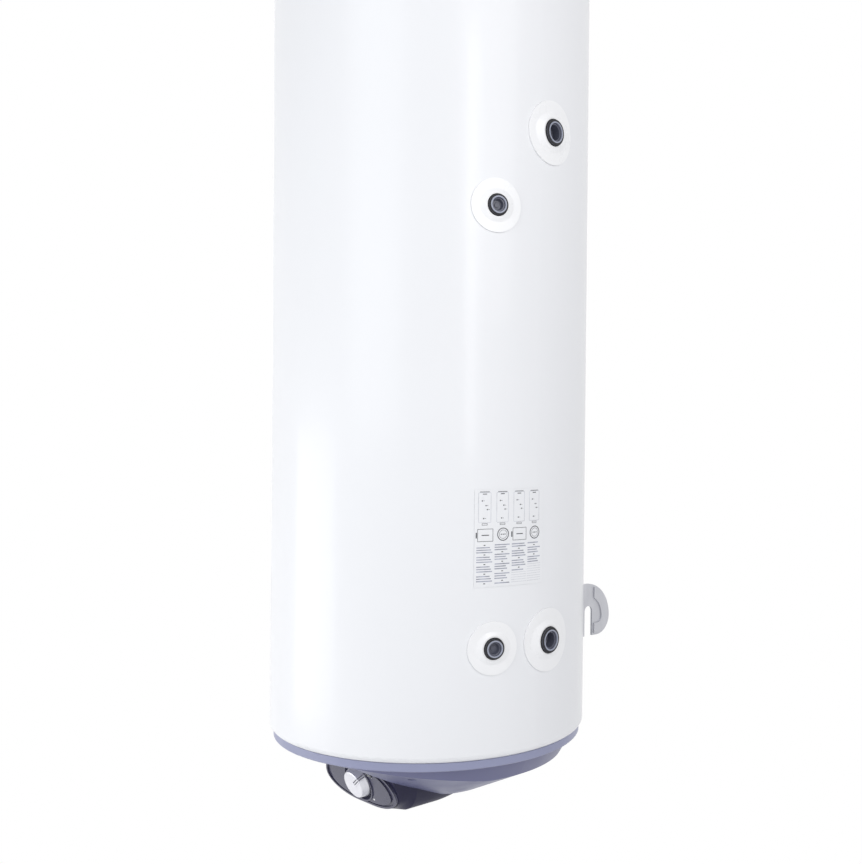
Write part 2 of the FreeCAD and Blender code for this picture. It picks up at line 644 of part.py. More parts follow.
def make_bottom_cover():
    """Moulded cap under the tank, open in front for the control housing and at the back for the pipes."""
    deep = "2 * cover_depth"
    spigot_outer = "(ring_bore - seat_gap)"
    shell = cut("cover_shell", cover_form("cover_outside", "0"), cover_form("cover_inside", "cover_wall"))
    spigot = cylinder_wall("cover_spigot_ring", spigot_outer, f"{spigot_outer} - cover_wall",
                           "cover_spigot + overlap", shift(up="-ring_height - overlap"))
    recess = "(fascia_width + housing_gap)"
    brow = block("brow_outside", f"2 * ({recess} + cover_wall)", "cover_radius - brow_back",
                 f"{deep} - brow_depth + cover_wall",
                 shift(f"-({recess} + cover_wall)", "-cover_radius", f"-{deep}"))
    bay = block("bay_outside", "2 * (bay_width + cover_wall)", "cover_radius",
                f"{deep} - bay_depth + cover_wall",
                shift("-(bay_width + cover_wall)", "bay_start - cover_wall", f"-{deep}"))
    lined = f"{deep} - pocket_depth + cover_wall"
    pockets = [cylinder(f"pocket_wall_{index}", "pocket_radius + cover_wall", lined,
                        screw_pose(index, f"-{deep}")) for index in range(4)]
    liners = common("cover_liners", fuse("liner_blocks", [brow, bay] + pockets), cover_form("cover_limit", "0"))
    openings = [
        block("brow_room", f"2 * {recess}", "cover_radius - brow_back", f"{deep} - brow_depth",
              shift(f"-{recess}", "-cover_radius", f"-{deep}")),
        housing_form("housing_room", "(-housing_gap)", "-brow_depth"),
        block("bay_room", "2 * bay_width", "cover_radius", f"{deep} - bay_depth",
              shift("-bay_width", "bay_start", f"-{deep}")),
        cylinder("gland_hole", "gland_shank + seat_gap", deep, shift("-gland_across", "gland_back", f"-{deep}")),
    ]
    for index in range(4):
        openings.append(cylinder(f"pocket_room_{index}", "pocket_radius", f"{deep} - pocket_depth",
                                 screw_pose(index, f"-{deep}")))
        openings.append(cylinder(f"screw_hole_{index}", "screw_radius + loose_gap", deep,
                                 screw_pose(index, f"-{deep}")))
        openings.append(block(f"arm_notch_{index}", "tab_radius + 2 * notch_gap", "arm_reach", "ring_height",
                              screw_pose(index, "-ring_height") + " * "
                              + shift("-tab_radius / 2 - notch_gap", "-arm_reach")))
    for side in ("-", ""):
        openings.append(cylinder("pipe_hole", "pipe_shank + collar_wall + loose_gap", deep,
                                 shift(f"{side}pipe_across", "pipe_back", f"-{deep}")))
    solid = fuse("cover_solid", [shell, spigot, liners])
    node(cut("bottom_cover", solid, fuse("cover_openings", openings)), "bottom_cover")


def trough_wire(half_width, start, drop, corner, brim, pose):
    """Section of the trough: straight sides, a level bottom and two round lower corners."""
    flat = half_width - corner
    tall = start - drop
    points = [(half_width, brim), (half_width, start), (flat, tall), (-flat, tall), (-half_width, start),
              (-half_width, brim)]
    spots = [pose(across, up) for across, up in points]
    edges = []
    for index, (spot, following) in enumerate(zip(spots, spots[1:] + spots[:1])):
        if index in (1, 3):
            way = 1 if index == 1 else -1
            bend = [pose(way * (flat + corner * math.cos(angle)), start - drop * math.sin(angle))
                    for angle in (math.pi / 8, math.pi / 4, 3 * math.pi / 8)]
            curve = Part.BSplineCurve()
            curve.interpolate([spot, *(bend if way == 1 else reversed(bend)), following])
            edges.append(curve.toShape())
        else:
            edges.append(Part.LineSegment(spot, following).toShape())
    return Part.Wire(edges)


def housing_form(name, inset, rise):
    """Closed form of the control housing: a trough that widens behind the fascia and rises at the back."""
    lean = math.radians(value("fascia_tilt"))
    knob_back, knob_depth = value("fascia_forward"), value("fascia_depth")
    less = value(inset)

    def on_fascia(across, up):
        return Vector(across, -knob_back - up * math.sin(lean), -knob_depth + up * math.cos(lean))

    def upright(back):
        return lambda across, up: Vector(across, -back, up)
    width, corner, depth = value("housing_width"), value("housing_corner"), value("housing_depth")
    front = trough_wire(value("fascia_width") - less, -value("fascia_low"), value("fascia_drop") - less,
                        value("fascia_width") - value("fascia_flat") - less, value("housing_brim"), on_fascia)
    sections = [front]
    for back in (value("housing_flare"), 0):
        sections.append(trough_wire(width - less, corner - depth, corner - less, corner - less,
                                    value("housing_brim") - value("fascia_low"), upright(back)))
    trough = doc.addObject("Part::Feature", f"{name}_trough")
    trough.Shape = Part.makeLoft(sections, True, True)
    lean = "tan(fascia_tilt)"
    plane = f"-fascia_forward + (fascia_thick + {inset}) / cos(fascia_tilt)"
    low = "(housing_depth + housing_fall)"
    side = prism(f"{name}_side", "YZ_Plane", [
        (f"{plane} - ({rise} + fascia_depth) * {lean}", rise),
        (f"{plane} + ({low} - fascia_depth) * {lean}", f"-{low}"),
        ("-housing_flare", f"-{low}"),
        ("-housing_flare", f"-housing_depth + {inset}"),
        ("-housing_heel", f"-housing_depth + {inset}"),
        (f"-housing_back - {inset}", f"-cover_depth + {inset}"),
        (f"-housing_back - {inset}", rise),
    ], "4 * housing_width", both=True)

    def heel(edge):
        return all(near(v.Y, value("-housing_heel")) for v in edge.Vertexes)
    round_edges(side, heel, "heel_radius")
    return common(f"{name}_form", trough, side)


def make_control_housing():
    """Dark moulded trough that carries the fascia and the thermostat."""
    shell = cut("housing_shell", housing_form("housing_outside", "0", "-housing_top"),
                housing_form("housing_inside", "housing_wall", "-brow_depth"))
    hole = cylinder("housing_dish_hole", "dish_radius + dish_wall + loose_gap", "4 * housing_wall",
                    FASCIA + " * " + turn(ABOUT_X, "-90"))
    node(cut("control_housing", shell, hole), "control_housing")


def oval(half_width, low, rise, drop, start, end):
    """Plate of four quarter ellipses joined by short straights, standing in the fascia's plane."""
    flat = value("fascia_flat")
    edges = []
    for across, up in ((1, rise), (-1, rise), (-1, -drop), (1, -drop)):
        centre = Vector(across * flat, start, -low)
        side = centre + Vector(across * (half_width - flat), 0, 0)
        edges.append(Part.Arc(Part.Ellipse(side, centre + Vector(0, 0, up), centre), 0, math.pi / 2).toShape())
    for up in (rise, -drop):
        edges.append(Part.LineSegment(Vector(-flat, start, up - low), Vector(flat, start, up - low)).toShape())
    return Part.Face(Part.Wire(Part.__sortEdges__(edges))).extrude(Vector(0, end - start, 0))


def inward(radius, start, end, across=0, up=0):
    """Round bar along the fascia's depth, from start to end behind its face."""
    return Part.makeCylinder(radius, end - start, Vector(across, start, up), Vector(0, 1, 0))


def capsule(radius, start, end):
    """Bar with two round ends at the pilot lens's place, standing in the fascia's plane."""
    length = value("lens_length")
    middle = Part.makeBox(length, end - start, 2 * radius, Vector(-length / 2, start, -radius))
    ends = [inward(radius, start, end, -length / 2), inward(radius, start, end, length / 2)]
    bar = middle.fuse(ends).removeSplitter()
    bar.rotate(Vector(0, 0, 0), Vector(0, 1, 0), value("lens_roll"))
    bar.translate(Vector(value("lens_across"), 0, value("lens_up")))
    return bar


def make_fascia():
    """Glossy oval front with a rim, a groove, a raised pad and the dish that the knob sits in."""
    width, low, rise, drop = (value(f"fascia_{end}") for end in ("width", "low", "rise", "drop"))
    thick, rim, groove = value("fascia_thick"), value("fascia_rim"), value("groove_depth")
    pad = [value(f"pad_{end}") for end in ("width", "low", "rise", "drop")]
    dish, depth = value("dish_radius"), value("dish_depth")
    wall, proud, lip = value("dish_wall"), value("dish_lip_rise"), value("dish_lip")
    plate = oval(width, low, rise, drop, 0, thick)
    channel = oval(width - rim, low, rise - rim, drop - rim, 0, groove).cut(oval(*pad, 0, groove))
    cup = inward(dish + wall, 0, depth + wall)
    raised = inward(dish + lip, -proud, thick)
    solid = plate.cut(channel).fuse([cup, raised]).cut(inward(dish, -proud, depth))
    solid = solid.cut(inward(value("spindle_radius + loose_gap"), 0, 2 * depth))
    lens = capsule(value("lens_radius + fit_gap"), -thick, 2 * thick)
    group("fascia", solid.cut(lens).removeSplitter(), FASCIA)


def make_pilot_lens():
    """Clear lens of the pilot lamp, seated in its slot through the fascia."""
    lens = capsule(value("lens_radius"), -value("lens_stand"), value("fascia_thick"))
    front = [edge for edge in lens.Edges if all(near(v.Y, -value("lens_stand")) for v in edge.Vertexes)]
    group("pilot_lens", lens.makeFillet(value("lens_edge"), front), FASCIA)


def make_knob():
    """Thermostat knob with a conical side and a ridged pointer, and its steel spindle."""
    floor = "(dish_depth - knob_lift)"
    face = "-knob_stand"
    shoulder = "-knob_stand + knob_bevel"
    turned = lathe("knob_body", [
        ("spindle_radius + spindle_grip", floor),
        ("knob_radius", floor),
        ("knob_radius", shoulder, "knob_skirt_rounding"),
        ("knob_face", face, "knob_rounding"),
        ("0", f"{face} - knob_crown"),
        ("0", f"{face} + knob_socket"),
        ("spindle_radius + spindle_grip", f"{face} + knob_socket"),
    ], along="y")
    reach = lathe("pointer_limit", [
        ("0", floor),
        ("knob_radius + pointer_rise", floor),
        ("knob_radius + pointer_rise", shoulder),
        ("knob_face + pointer_rise", f"{face} - pointer_rise", "knob_rounding"),
        ("0", f"{face} - knob_crown - pointer_rise"),
    ], along="y")
    ridges = []
    for index in (-1, 0, 1):
        ridges.append(block("pointer_ridge", "knob_radius + pointer_rise - pointer_start",
                            "knob_stand + knob_crown + pointer_rise - knob_socket", "pointer_width",
                            turn(ABOUT_Y, "-pointer_angle") + " * "
                            + shift("pointer_start", "-knob_stand - knob_crown - pointer_rise",
                                    f"{index} * pointer_pitch - pointer_width / 2")))
    pointer = common("pointer", fuse("pointer_ridges", ridges), reach)
    node(fuse("knob", [turned, pointer]), "knob", FASCIA)
    tail = "(dish_depth + spindle_reach)"
    spindle = cylinder("knob_spindle", "spindle_radius", f"knob_stand - knob_socket - seat_gap + {tail}")
    node(spindle, "knob_spindle", FASCIA + " * " + shift(back=tail) + " * " + turn(ABOUT_X, "90"))


def make_thermostat():
    """Capillary thermostat screwed to the back of the dish, with its bulb in the thermowell."""
    back = "(dish_depth + dish_wall + seat_gap)"
    case = block("thermostat_case", "case_width", "case_length", "case_height",
                 shift("-case_width / 2", back, "-case_low"))
    bush = cylinder("thermostat_bore", "spindle_radius + fit_gap", "2 * case_length",
                    shift(back="2 * case_length") + " * " + turn(ABOUT_X, "90"))
    node(cut("thermostat_body", case, bush), "thermostat_body", FASCIA)


def make_ports():
    """Socket, seal, transport plug and escutcheon at each of the four connections."""
    root = "-tank_radius + socket_end"
    tip = "-sleeve_end"
    for port, kind, turned, height in PORTS:
        pose = port_pose(turned, height)
        outer, mouth, thread = f"{kind}_socket", f"{kind}_mouth", f"{kind}_thread"
        throat = f"-{FACE} + {kind}_throat"
        stop = f"{throat} + thread_length"
        if kind == "coil":
            inner = [("tube_radius + fit_gap", stop), ("tube_radius + fit_gap", root), (outer, root)]
        else:
            inner = [("sleeve_bore", stop), ("sleeve_bore", f"{tip} - sleeve_cap"), ("0", f"{tip} - sleeve_cap"),
                     ("0", tip), ("sleeve_radius", tip), ("sleeve_radius", root), (outer, root)]
        corners = [(outer, f"-{FACE}"), (mouth, f"-{FACE}"), (mouth, throat), (thread, throat), (thread, stop)]
        name = f"{port}_socket" if kind == "coil" else f"{port}_pocket"
        node(lathe(name, corners + inner, along="y"), name, pose)
        seat = f"-{FACE} - seal_thick"
        node(lathe(f"{port}_seal", [
            (f"{mouth} + seal_gap", f"-{FACE}"),
            (outer, f"-{FACE}"),
            (outer, seat, "seal_edge"),
            (f"{mouth} + seal_gap", seat),
        ], along="y"), f"{port}_seal", pose)
        shank = f"{mouth} - plug_gap"
        end = f"{throat} - overlap"
        node(lathe(f"{port}_plug", [
            ("0", end),
            (f"{shank} - plug_nose", end),
            (shank, f"{end} - plug_nose"),
            (shank, seat),
            (f"{kind}_flange", seat),
            (f"{kind}_flange", f"{seat} - flange_thick", "flange_edge"),
            (f"{shank} - plug_wall", f"{seat} - flange_thick", "cup_edge"),
            (f"{shank} - plug_nose - plug_wall", f"{end} - plug_wall", "cup_floor_edge"),
            ("0", f"{end} - plug_wall"),
        ], along="y"), f"{port}_plug", pose)
        make_escutcheon(port, kind, pose)


def make_escutcheon(port, kind, pose):
    """White rosette: a skirt that follows the casing and a shallow conical hub round the socket."""
    upright = turn(ABOUT_X, "90")
    bore = f"{kind}_socket + rose_gap"
    disc = cylinder(f"{port}_disc", f"{kind}_rose", "2 * casing_radius", upright)
    skin = cylinder_wall(f"{port}_skin", "casing_radius + seat_gap + rose_thick", "casing_radius + seat_gap",
                         f"2 * ({kind}_rose + overlap)", shift(up=f"-{kind}_rose - overlap"))
    skirt = common(f"{port}_skirt", disc, skin)
    hub = doc.addObject("Part::Cone", f"{port}_hub")
    bind(hub, "Radius1", f"{kind}_rose * rose_hub")
    bind(hub, "Radius2", f"{bore} + rose_land")
    bind(hub, "Height", "rose_rise + rose_root")
    place(hub, shift(back="-casing_radius + rose_root") + " * " + upright)
    inside = cylinder(f"{port}_inside", "casing_radius + seat_gap", "4 * casing_radius",
                      shift(up="-2 * casing_radius"))
    drill = cylinder(f"{port}_drill", bore, "2 * casing_radius", upright)
    solid = fuse(f"{port}_rose", [skirt, hub])
    tools = fuse(f"{port}_tools", [inside, drill])
    node(cut(f"{port}_escutcheon", solid, tools), f"{port}_escutcheon", pose)


def make_label():
    """Printed label that shows the connections, wrapped round the casing."""
    sector = lathe("connection_label", [
        ("casing_radius + label_gap", "-label_height / 2"),
        ("casing_radius + label_gap + label_thick", "-label_height / 2"),
        ("casing_radius + label_gap + label_thick", "label_height / 2"),
        ("casing_radius + label_gap", "label_height / 2"),
    ], angle="label_angle")
    node(sector, "connection_label",
         shift(up="label_middle") + " * " + turn(ABOUT_Z, "label_turn - label_angle / 2 - 90"))


def make_tank():
    """Enamelled tank: a rolled shell between two domed ends."""
    node(cut("tank_shell",
             cylinder_wall("tank_tube", "tank_radius", "tank_radius - tank_wall", "tank_top - tank_bottom",
                           shift(up="tank_bottom")),
             fuse("tank_holes", port_holes("tank", "seat_gap"))), "tank_shell")
    for name, level, way in (("top", "tank_top", "1"), ("bottom", "tank_bottom", "-1")):
        centre = shift(up=f"{level} + {way} * (dome_rise - dome_radius)")
        balls = []
        for part, radius in (("outside", "dome_radius"), ("inside", "dome_radius - tank_wall")):
            ball = doc.addObject("Part::Sphere", f"dome_{name}_{part}")
            bind(ball, "Radius", radius)
            balls.append(place(ball, centre))
        half = cylinder(f"dome_{name}_reach", "tank_radius", "2 * dome_rise",
                        shift(up=level if way == "1" else f"{level} - 2 * dome_rise"))
        dome = common(f"dome_{name}_shell", cut(f"dome_{name}_cap", *balls), half)
        if name == "bottom":
            tools = [cylinder("neck_room", "neck_radius + seat_gap", "tank_bottom", shift())]
            for side in ("-", ""):
                tools.append(cylinder("pipe_room", "pipe_shank + fit_gap", "tank_bottom",
                                      shift(f"{side}pipe_across", "pipe_back")))
            dome = cut("dome_drilled", dome, fuse("dome_tools", tools))
        node(dome, f"tank_{name}_dome")


def make_insulation():
    """Foam round the tank: a wall, and a pad under each end of the casing."""
    inside = "tank_radius + foam_gap"
    outside = "casing_radius - casing_wall - foam_gap"
    wall = cylinder_wall("foam_wall", outside, inside, "tank_top - tank_bottom", shift(up="tank_bottom"))
    tools = port_holes("foam", "foam_gap") + ear_holes("foam", "foam_gap") + strap_room("foam")
    node(cut("insulation_wall", wall, fuse("foam_tools", tools)), "insulation_wall")
    pads = (
        ("top", "tank_top + foam_gap", "casing_height - casing_roll - tank_top - foam_gap * 2",
         "tank_top + dome_rise - dome_radius"),
        ("bottom", "casing_roll + foam_gap", "tank_bottom - casing_roll - foam_gap * 2",
         "tank_bottom - dome_rise + dome_radius"),
    )
    for name, start, height, centre in pads:
        pad = cylinder(f"foam_{name}_disc", outside, height, shift(up=start))
        ball = doc.addObject("Part::Sphere", f"foam_{name}_dome")
        bind(ball, "Radius", "dome_radius + foam_gap")
        place(ball, shift(up=centre))
        tools = [ball]
        if name == "top":
            tools += ear_holes("foam_top", "foam_gap", BRACKETS[:1])
        else:
            tools.append(cylinder("foam_neck_room", "collar_radius + collar_room", "tank_bottom", shift()))
            for side in ("-", ""):
                tools.append(cylinder("foam_pipe_room", "pipe_shank + foam_gap", "tank_bottom",
                                      shift(f"{side}pipe_across", "pipe_back")))
        node(cut(f"insulation_{name}", pad, fuse(f"foam_{name}_tools", tools)), f"insulation_{name}")


def ear_form(name, inset, start, thick):
    """Outline of an ear drawn in by inset, with its two outer corners rounded; heights from the hanging point."""
    reach, low, high = f"ear_reach - {inset}", f"-ear_low + {inset}", f"ear_high - {inset}"
    body = prism(name, "YZ_Plane", [
        ("ear_start", low),
        (reach, low),
        (reach, high),
        ("ear_start", high),
    ], thick, offset=start)
    for level, radius in ((low, f"ear_heel - {inset}"), (high, f"ear_shoulder - {inset}")):
        def corner(edge, level=level):
            return all(near(v.Y, value(reach)) and near(v.Z, value(level)) for v in edge.Vertexes)
        round_edges(body, corner, radius)
    return body


def make_brackets():
    """Pressed brackets: a strap welded to the tank's back, and two ears that reach through the casing."""
    for label, height in BRACKETS:
        strap = common(f"{label}_strap",
                       cylinder_wall(f"{label}_band", "tank_radius + seat_gap + ear_wall",
                                     "tank_radius + seat_gap", "strap_height", shift(up="-strap_height / 2")),
                       block(f"{label}_sector", "2 * ear_offset + ear_wall", "axis_to_wall", "strap_height",
                             shift("-ear_offset - ear_wall / 2", "0", "-strap_height / 2")))
        ears = []
        for side, across, way in (("left", "-ear_offset", "-1"), ("right", "ear_offset", "1")):
            name = f"{label}_{side}"
            plate = ear_form(f"{name}_plate", "0", f"{across} - ear_wall / 2", "ear_wall")
            face = f"{across} + {way} * ear_wall / 2 - (1 - {way}) / 2 * ear_rib"
            band = cut(f"{name}_band", ear_form(f"{name}_band_outer", "ear_rib_inset", face, "ear_rib"),
                       ear_form(f"{name}_band_inner", "(ear_rib_inset + ear_rib_width)", face, "ear_rib"))
            behind = block(f"{name}_behind", "2 * ear_wall + 2 * ear_rib", "axis_to_wall", "4 * ear_high",
                           shift(f"{across} - ear_wall - ear_rib", "slot_back + slot_radius + ear_rib_gap",
                                 "-2 * ear_high"))
            rib = common(f"{name}_rib", band, behind)
            slot = cylinder(f"{name}_slot_end", "slot_radius", "4 * ear_wall",
                            shift(f"{across} - 2 * ear_wall", "slot_back") + " * " + turn(ABOUT_Y, "90"))
            way_in = block(f"{name}_slot", "4 * ear_wall", "2 * slot_radius", "2 * ear_low",
                           shift(f"{across} - 2 * ear_wall", "slot_back - slot_radius", "-2 * ear_low"))
            ears.append(cut(f"{name}_ear", fuse(f"{name}_pressed", [plate, rib]),
                            fuse(f"{name}_slots", [slot, way_in])))
        node(fuse(f"{label}_bracket", [strap] + ears), f"{label}_bracket", shift(up=height))


def make_grommets():
    """Oval plastic collars that finish the casing round the ears."""
    half_wide = "(ear_wall / 2 + ear_gap + grommet_wall)"
    half_tall = "((ear_low + ear_high) / 2 + ear_gap + grommet_wall)"
    for label, height in BRACKETS:
        collars = []
        for side, across in (("left", "-ear_offset"), ("right", "ear_offset")):
            body = prism(f"{label}_{side}_collar", "XZ_Plane", [
                (f"{across} - {half_wide}", f"-{half_tall}"),
                (f"{across} + {half_wide}", f"-{half_tall}"),
                (f"{across} + {half_wide}", half_tall),
                (f"{across} - {half_wide}", half_tall),
            ], "2 * casing_radius", offset="-2 * casing_radius")
            round_edges(body, lambda edge: len(edge.Vertexes) == 2 and near(
                abs(edge.Vertexes[0].Y - edge.Vertexes[1].Y), value("2 * casing_radius")),
                f"{half_wide} - seat_gap")
            slot = block(f"{label}_{side}_passage", "ear_wall + ear_gap", "4 * casing_radius",
                         "ear_low + ear_high + ear_gap",
                         shift(f"{across} - (ear_wall + ear_gap) / 2", "-casing_radius",
                               "-(ear_low + ear_high + ear_gap) / 2"))
            collars.append(cut(f"{label}_{side}_grommet", body, slot))
        shell = cylinder_wall(f"{label}_grommet_skin", "casing_radius + seat_gap + grommet_stand",
                              "casing_radius + seat_gap", f"4 * {half_tall}", shift(up=f"-2 * {half_tall}"))
        node(common(f"{label}_bracket_collars", fuse(f"{label}_collar_pair", collars), shell),
             f"{label}_bracket_collars", shift(up=f"{height} + (ear_high - ear_low) / 2"))


def bent_arc(start, heading, end):
    """Arc that leaves start along heading and reaches end."""
    chord = end - start
    square = chord - heading * chord.dot(heading)
    if square.Length < 1e-6:
        return Part.LineSegment(start, end).toShape()
    square.normalize()
    radius = chord.Length ** 2 / (2 * chord.dot(square))
    centre = start + square * radius
    middle = (start - centre) + (end - centre)
    middle.normalize()
    return Part.Arc(start, centre + middle * radius, end).toShape()


def biarc(start, leaving, end, arriving):
    """Two arcs that meet smoothly between two points with these headings."""
    gap = end - start
    both = leaving + arriving
    bend = 2 * (1 - leaving.dot(arriving))
    reach = (math.sqrt(gap.dot(both) ** 2 + bend * gap.dot(gap)) - gap.dot(both)) / bend
    joint = (start + leaving * reach + end - arriving * reach) * 0.5
    first = bent_arc(start, leaving, joint)
    second = bent_arc(end, arriving * -1, joint)
    return first, second


def helix_point(angle, climb):
    """Point and heading on the coil at this angle, in radians from the front."""
    radius = value("coil_radius")
    place_on = Vector(radius * math.sin(angle), -radius * math.cos(angle), value("coil_lower") + climb * angle)
    heading = Vector(radius * math.cos(angle), radius * math.sin(angle), climb)
    heading.normalize()
    return place_on, heading


def make_heating_coil():
    """Smooth-tube coil between the two coil connections, wound in quarter turns."""
    port = math.radians(value("port_far"))
    bend, radius, tube = value("bend_radius"), value("coil_radius"), value("tube_radius")
    lead = bend / (radius + bend)
    turned = math.asin(lead)
    first = port + turned
    last = port + 2 * math.pi * value("coil_turns") - turned
    rise = value("coil_upper") - value("coil_lower")
    climb = rise / (last - first)
    outward = Vector(math.sin(port), -math.cos(port), 0)
    steps = int(round((last - first) / (math.pi / 2)))
    marks = []
    for index in range(steps + 1):
        angle = first + (last - first) * index / steps
        point, heading = helix_point(angle, climb)
        point.z = value("coil_lower") + climb * (angle - first)
        marks.append((point, heading))
    reach = value("casing_radius + socket_stand - coil_throat - thread_length - fit_gap")
    edges = []
    for index in range(steps):
        edges += biarc(marks[index][0], marks[index][1], marks[index + 1][0], marks[index + 1][1])
    for point, heading, where in ((marks[0][0], marks[0][1] * -1, 0), (marks[-1][0], marks[-1][1], len(edges))):
        end = outward * reach
        end.z = point.z
        level = Vector(heading.x, heading.y, 0)
        level.normalize()
        stub = outward * (radius * math.cos(turned) + bend)
        stub.z = point.z
        elbow = biarc(point, heading, stub, outward)
        run = Part.LineSegment(stub, end).toShape()
        edges = [run, *reversed(elbow), *edges] if where == 0 else [*edges, *elbow, run]
    path = Part.Wire(Part.__sortEdges__(edges))
    start = outward * reach
    start.z = value("coil_lower")
    shapes = []
    for size in (tube, tube - value("tube_wall")):
        rim = Part.Wire(Part.Circle(start, outward, size).toShape())
        shapes.append(path.makePipeShell([rim], True, False))
    print("coil volume", round(shapes[0].Volume), "against", round(math.pi * tube ** 2 * path.Length))
    print("coil's least gap to itself", round(climb * 2 * math.pi - 2 * tube, 2))
    group("heating_coil", shapes[0].cut(shapes[1]))


def bolt_pose(index, depth):
    """Place on the bolt circle, at this depth under the rim."""
    return turn(ABOUT_Z, f"{index} * 360 / bolt_count") + " * " + shift("bolt_circle", "0", f"-({depth})")


def hexagon(name, corner, height, pose):
    thing = doc.addObject("Part::Prism", name)
    thing.Polygon = 6
    bind(thing, "Circumradius", corner)
    bind(thing, "Height", height)
    return place(thing, pose)


def make_flange():
    """Service flange under the tank: neck, gasket, plate and its bolts."""
    inner = "(neck_radius - neck_wall)"
    weld = "(tank_bottom - dome_rise + neck_top)"
    neck = lathe("neck_body", [
        (inner, "-collar_depth"),
        ("collar_radius", "-collar_depth"),
        ("collar_radius", "-collar_depth + collar_thick"),
        ("neck_radius", "-collar_depth + collar_thick"),
        ("neck_radius", weld),
        (inner, weld),
    ])
    count = range(int(value("bolt_count")))
    holes = [cylinder("neck_hole", "bolt_radius + fit_gap", "4 * collar_thick",
                      bolt_pose(index, "2 * collar_thick"))
             for index in count]
    node(cut("flange_neck", neck, fuse("neck_holes", holes)), "flange_neck")
    rim = "bolt_circle - bolt_radius - gasket_margin"
    node(lathe("flange_gasket", [
        (inner, "-collar_depth - gasket_thick"),
        (rim, "-collar_depth - gasket_thick"),
        (rim, "-collar_depth"),
        (inner, "-collar_depth"),
    ]), "flange_gasket")
    deep = "under_plate + plate_thick"
    plate = cylinder("plate_disc", "collar_radius", "plate_thick", shift(up="-under_plate"))
    drills = [cylinder("plate_hole", "bolt_radius + loose_gap", "4 * plate_thick", bolt_pose(index, deep))
              for index in count]
    for row in ("-", ""):
        for leg in ("-", ""):
            drills.append(cylinder("leg_hole", "element_radius + fit_gap", "4 * plate_thick",
                                   shift(f"{leg}element_spread", f"{row}element_pitch / 2", f"-({deep})")))
    drills.append(cylinder("anode_hole", "anode_stud + fit_gap", "4 * plate_thick",
                           shift("0", "anode_back", f"-({deep})")))
    drills.append(cylinder("well_hole", "well_radius + fit_gap", "4 * plate_thick",
                           shift("0", "-well_forward", f"-({deep})")))
    node(cut("flange_plate", plate, fuse("plate_holes", drills)), "flange_plate")
    bolts = []
    for index in count:
        head = hexagon("bolt_hexagon", "bolt_across", "bolt_head", bolt_pose(index, "under_plate + bolt_head"))
        shank = cylinder("bolt_shank", "bolt_radius", "under_plate - collar_depth + collar_thick",
                         bolt_pose(index, "under_plate"))
        bolts.append(fuse("flange_bolt", [head, shank]))
    pack = doc.addObject("Part::Compound", "flange_bolts")
    pack.Links = bolts
    node(pack, "flange_bolts")


def make_flange_fittings():
    """What the plate carries: heating element, anode, thermowell, cut-out and terminals."""
    pair = doc.addObject("Part::Compound", "heating_element")
    hairpins = []
    for row in ("-", ""):
        legs = [cylinder("hairpin_leg", "element_radius", "element_length + under_plate + element_stub",
                         shift(f"{leg}element_spread", f"{row}element_pitch / 2", "-under_plate - element_stub"))
                for leg in ("-", "")]
        bend = doc.addObject("Part::Torus", "hairpin_bend")
        bind(bend, "Radius1", "element_spread")
        bind(bend, "Radius2", "element_radius")
        bend.Angle3 = 180
        place(bend, shift("0", f"{row}element_pitch / 2", "element_length") + " * " + turn(ABOUT_X, "90"))
        hairpins.append(fuse("hairpin", [*legs, bend]))
    pair.Links = hairpins
    node(pair, "heating_element")
    rod = cylinder("anode_bar", "anode_radius", "anode_length",
                   shift("0", "anode_back", "-collar_depth - gasket_thick"))
    stud = cylinder("anode_shank", "anode_stud", "under_plate + anode_stud_end",
                    shift("0", "anode_back", "-under_plate - anode_stud_end"))
    node(fuse("anode_rod", [rod, stud]), "anode_rod")
    nut = hexagon("anode_hexagon", "anode_nut", "anode_nut_height",
                  shift("0", "anode_back", "-under_plate - anode_nut_height"))
    hole = cylinder("nut_hole", "anode_stud + fit_gap", "3 * anode_nut_height",
                    shift("0", "anode_back", "-under_plate - 2 * anode_nut_height"))
    node(cut("anode_nut", nut, hole), "anode_nut")
    node(lathe("thermowell", [
        ("well_bore", "-under_plate - well_stub"),
        ("well_radius", "-under_plate - well_stub"),
        ("well_radius", "well_length"),
        ("0", "well_length"),
        ("0", "well_length - well_radius + well_bore"),
        ("well_bore", "well_length - well_radius + well_bore"),
    ]), "thermowell", shift("0", "-well_forward"))
    spot = shift("-cutout_across", "-cutout_forward", "-under_plate - cutout_height")
    cutout = cylinder("cutout_case", "cutout_radius", "cutout_height", spot)
    node(cut("thermal_cutout", cutout, cylinder("cutout_bore", "button_radius + fit_gap", "button_room", spot)),
         "thermal_cutout")
    node(cylinder("reset_button", "button_radius", "button_length"), "reset_button",
         spot + " * " + shift(up="-button_stand"))
    case = block("terminal_case", "terminal_width", "terminal_length", "terminal_height",
                 shift("terminal_across", "terminal_back", "-under_plate - terminal_height"))
    holes = []
    for index in (-1, 0, 1):
        holes.append(cylinder("terminal_hole", "terminal_hole", "2 * (terminal_back + terminal_length)",
                              shift(f"terminal_across + terminal_width / 2 + {index} * terminal_pitch",
                                    "2 * (terminal_back + terminal_length)",
                                    "-under_plate - terminal_height / 2") + " * " + turn(ABOUT_X, "90")))
    node(cut("terminal_block", case, fuse("terminal_holes", holes)), "terminal_block")
    spot = shift("earth_across", "-earth_forward", "-under_plate")
    stud = cylinder("earth_shank", "earth_radius", "earth_length", spot + " * " + shift(up="-earth_length"))
    washer = cylinder("earth_washer", "washer_radius", "washer_thick",
                      spot + " * " + shift(up="-earth_nut_height - washer_thick"))
    nut = hexagon("earth_hexagon", "earth_nut", "earth_nut_height", spot + " * " + shift(up="-earth_nut_height"))
    node(fuse("earth_stud", [stud, washer, nut]), "earth_stud")


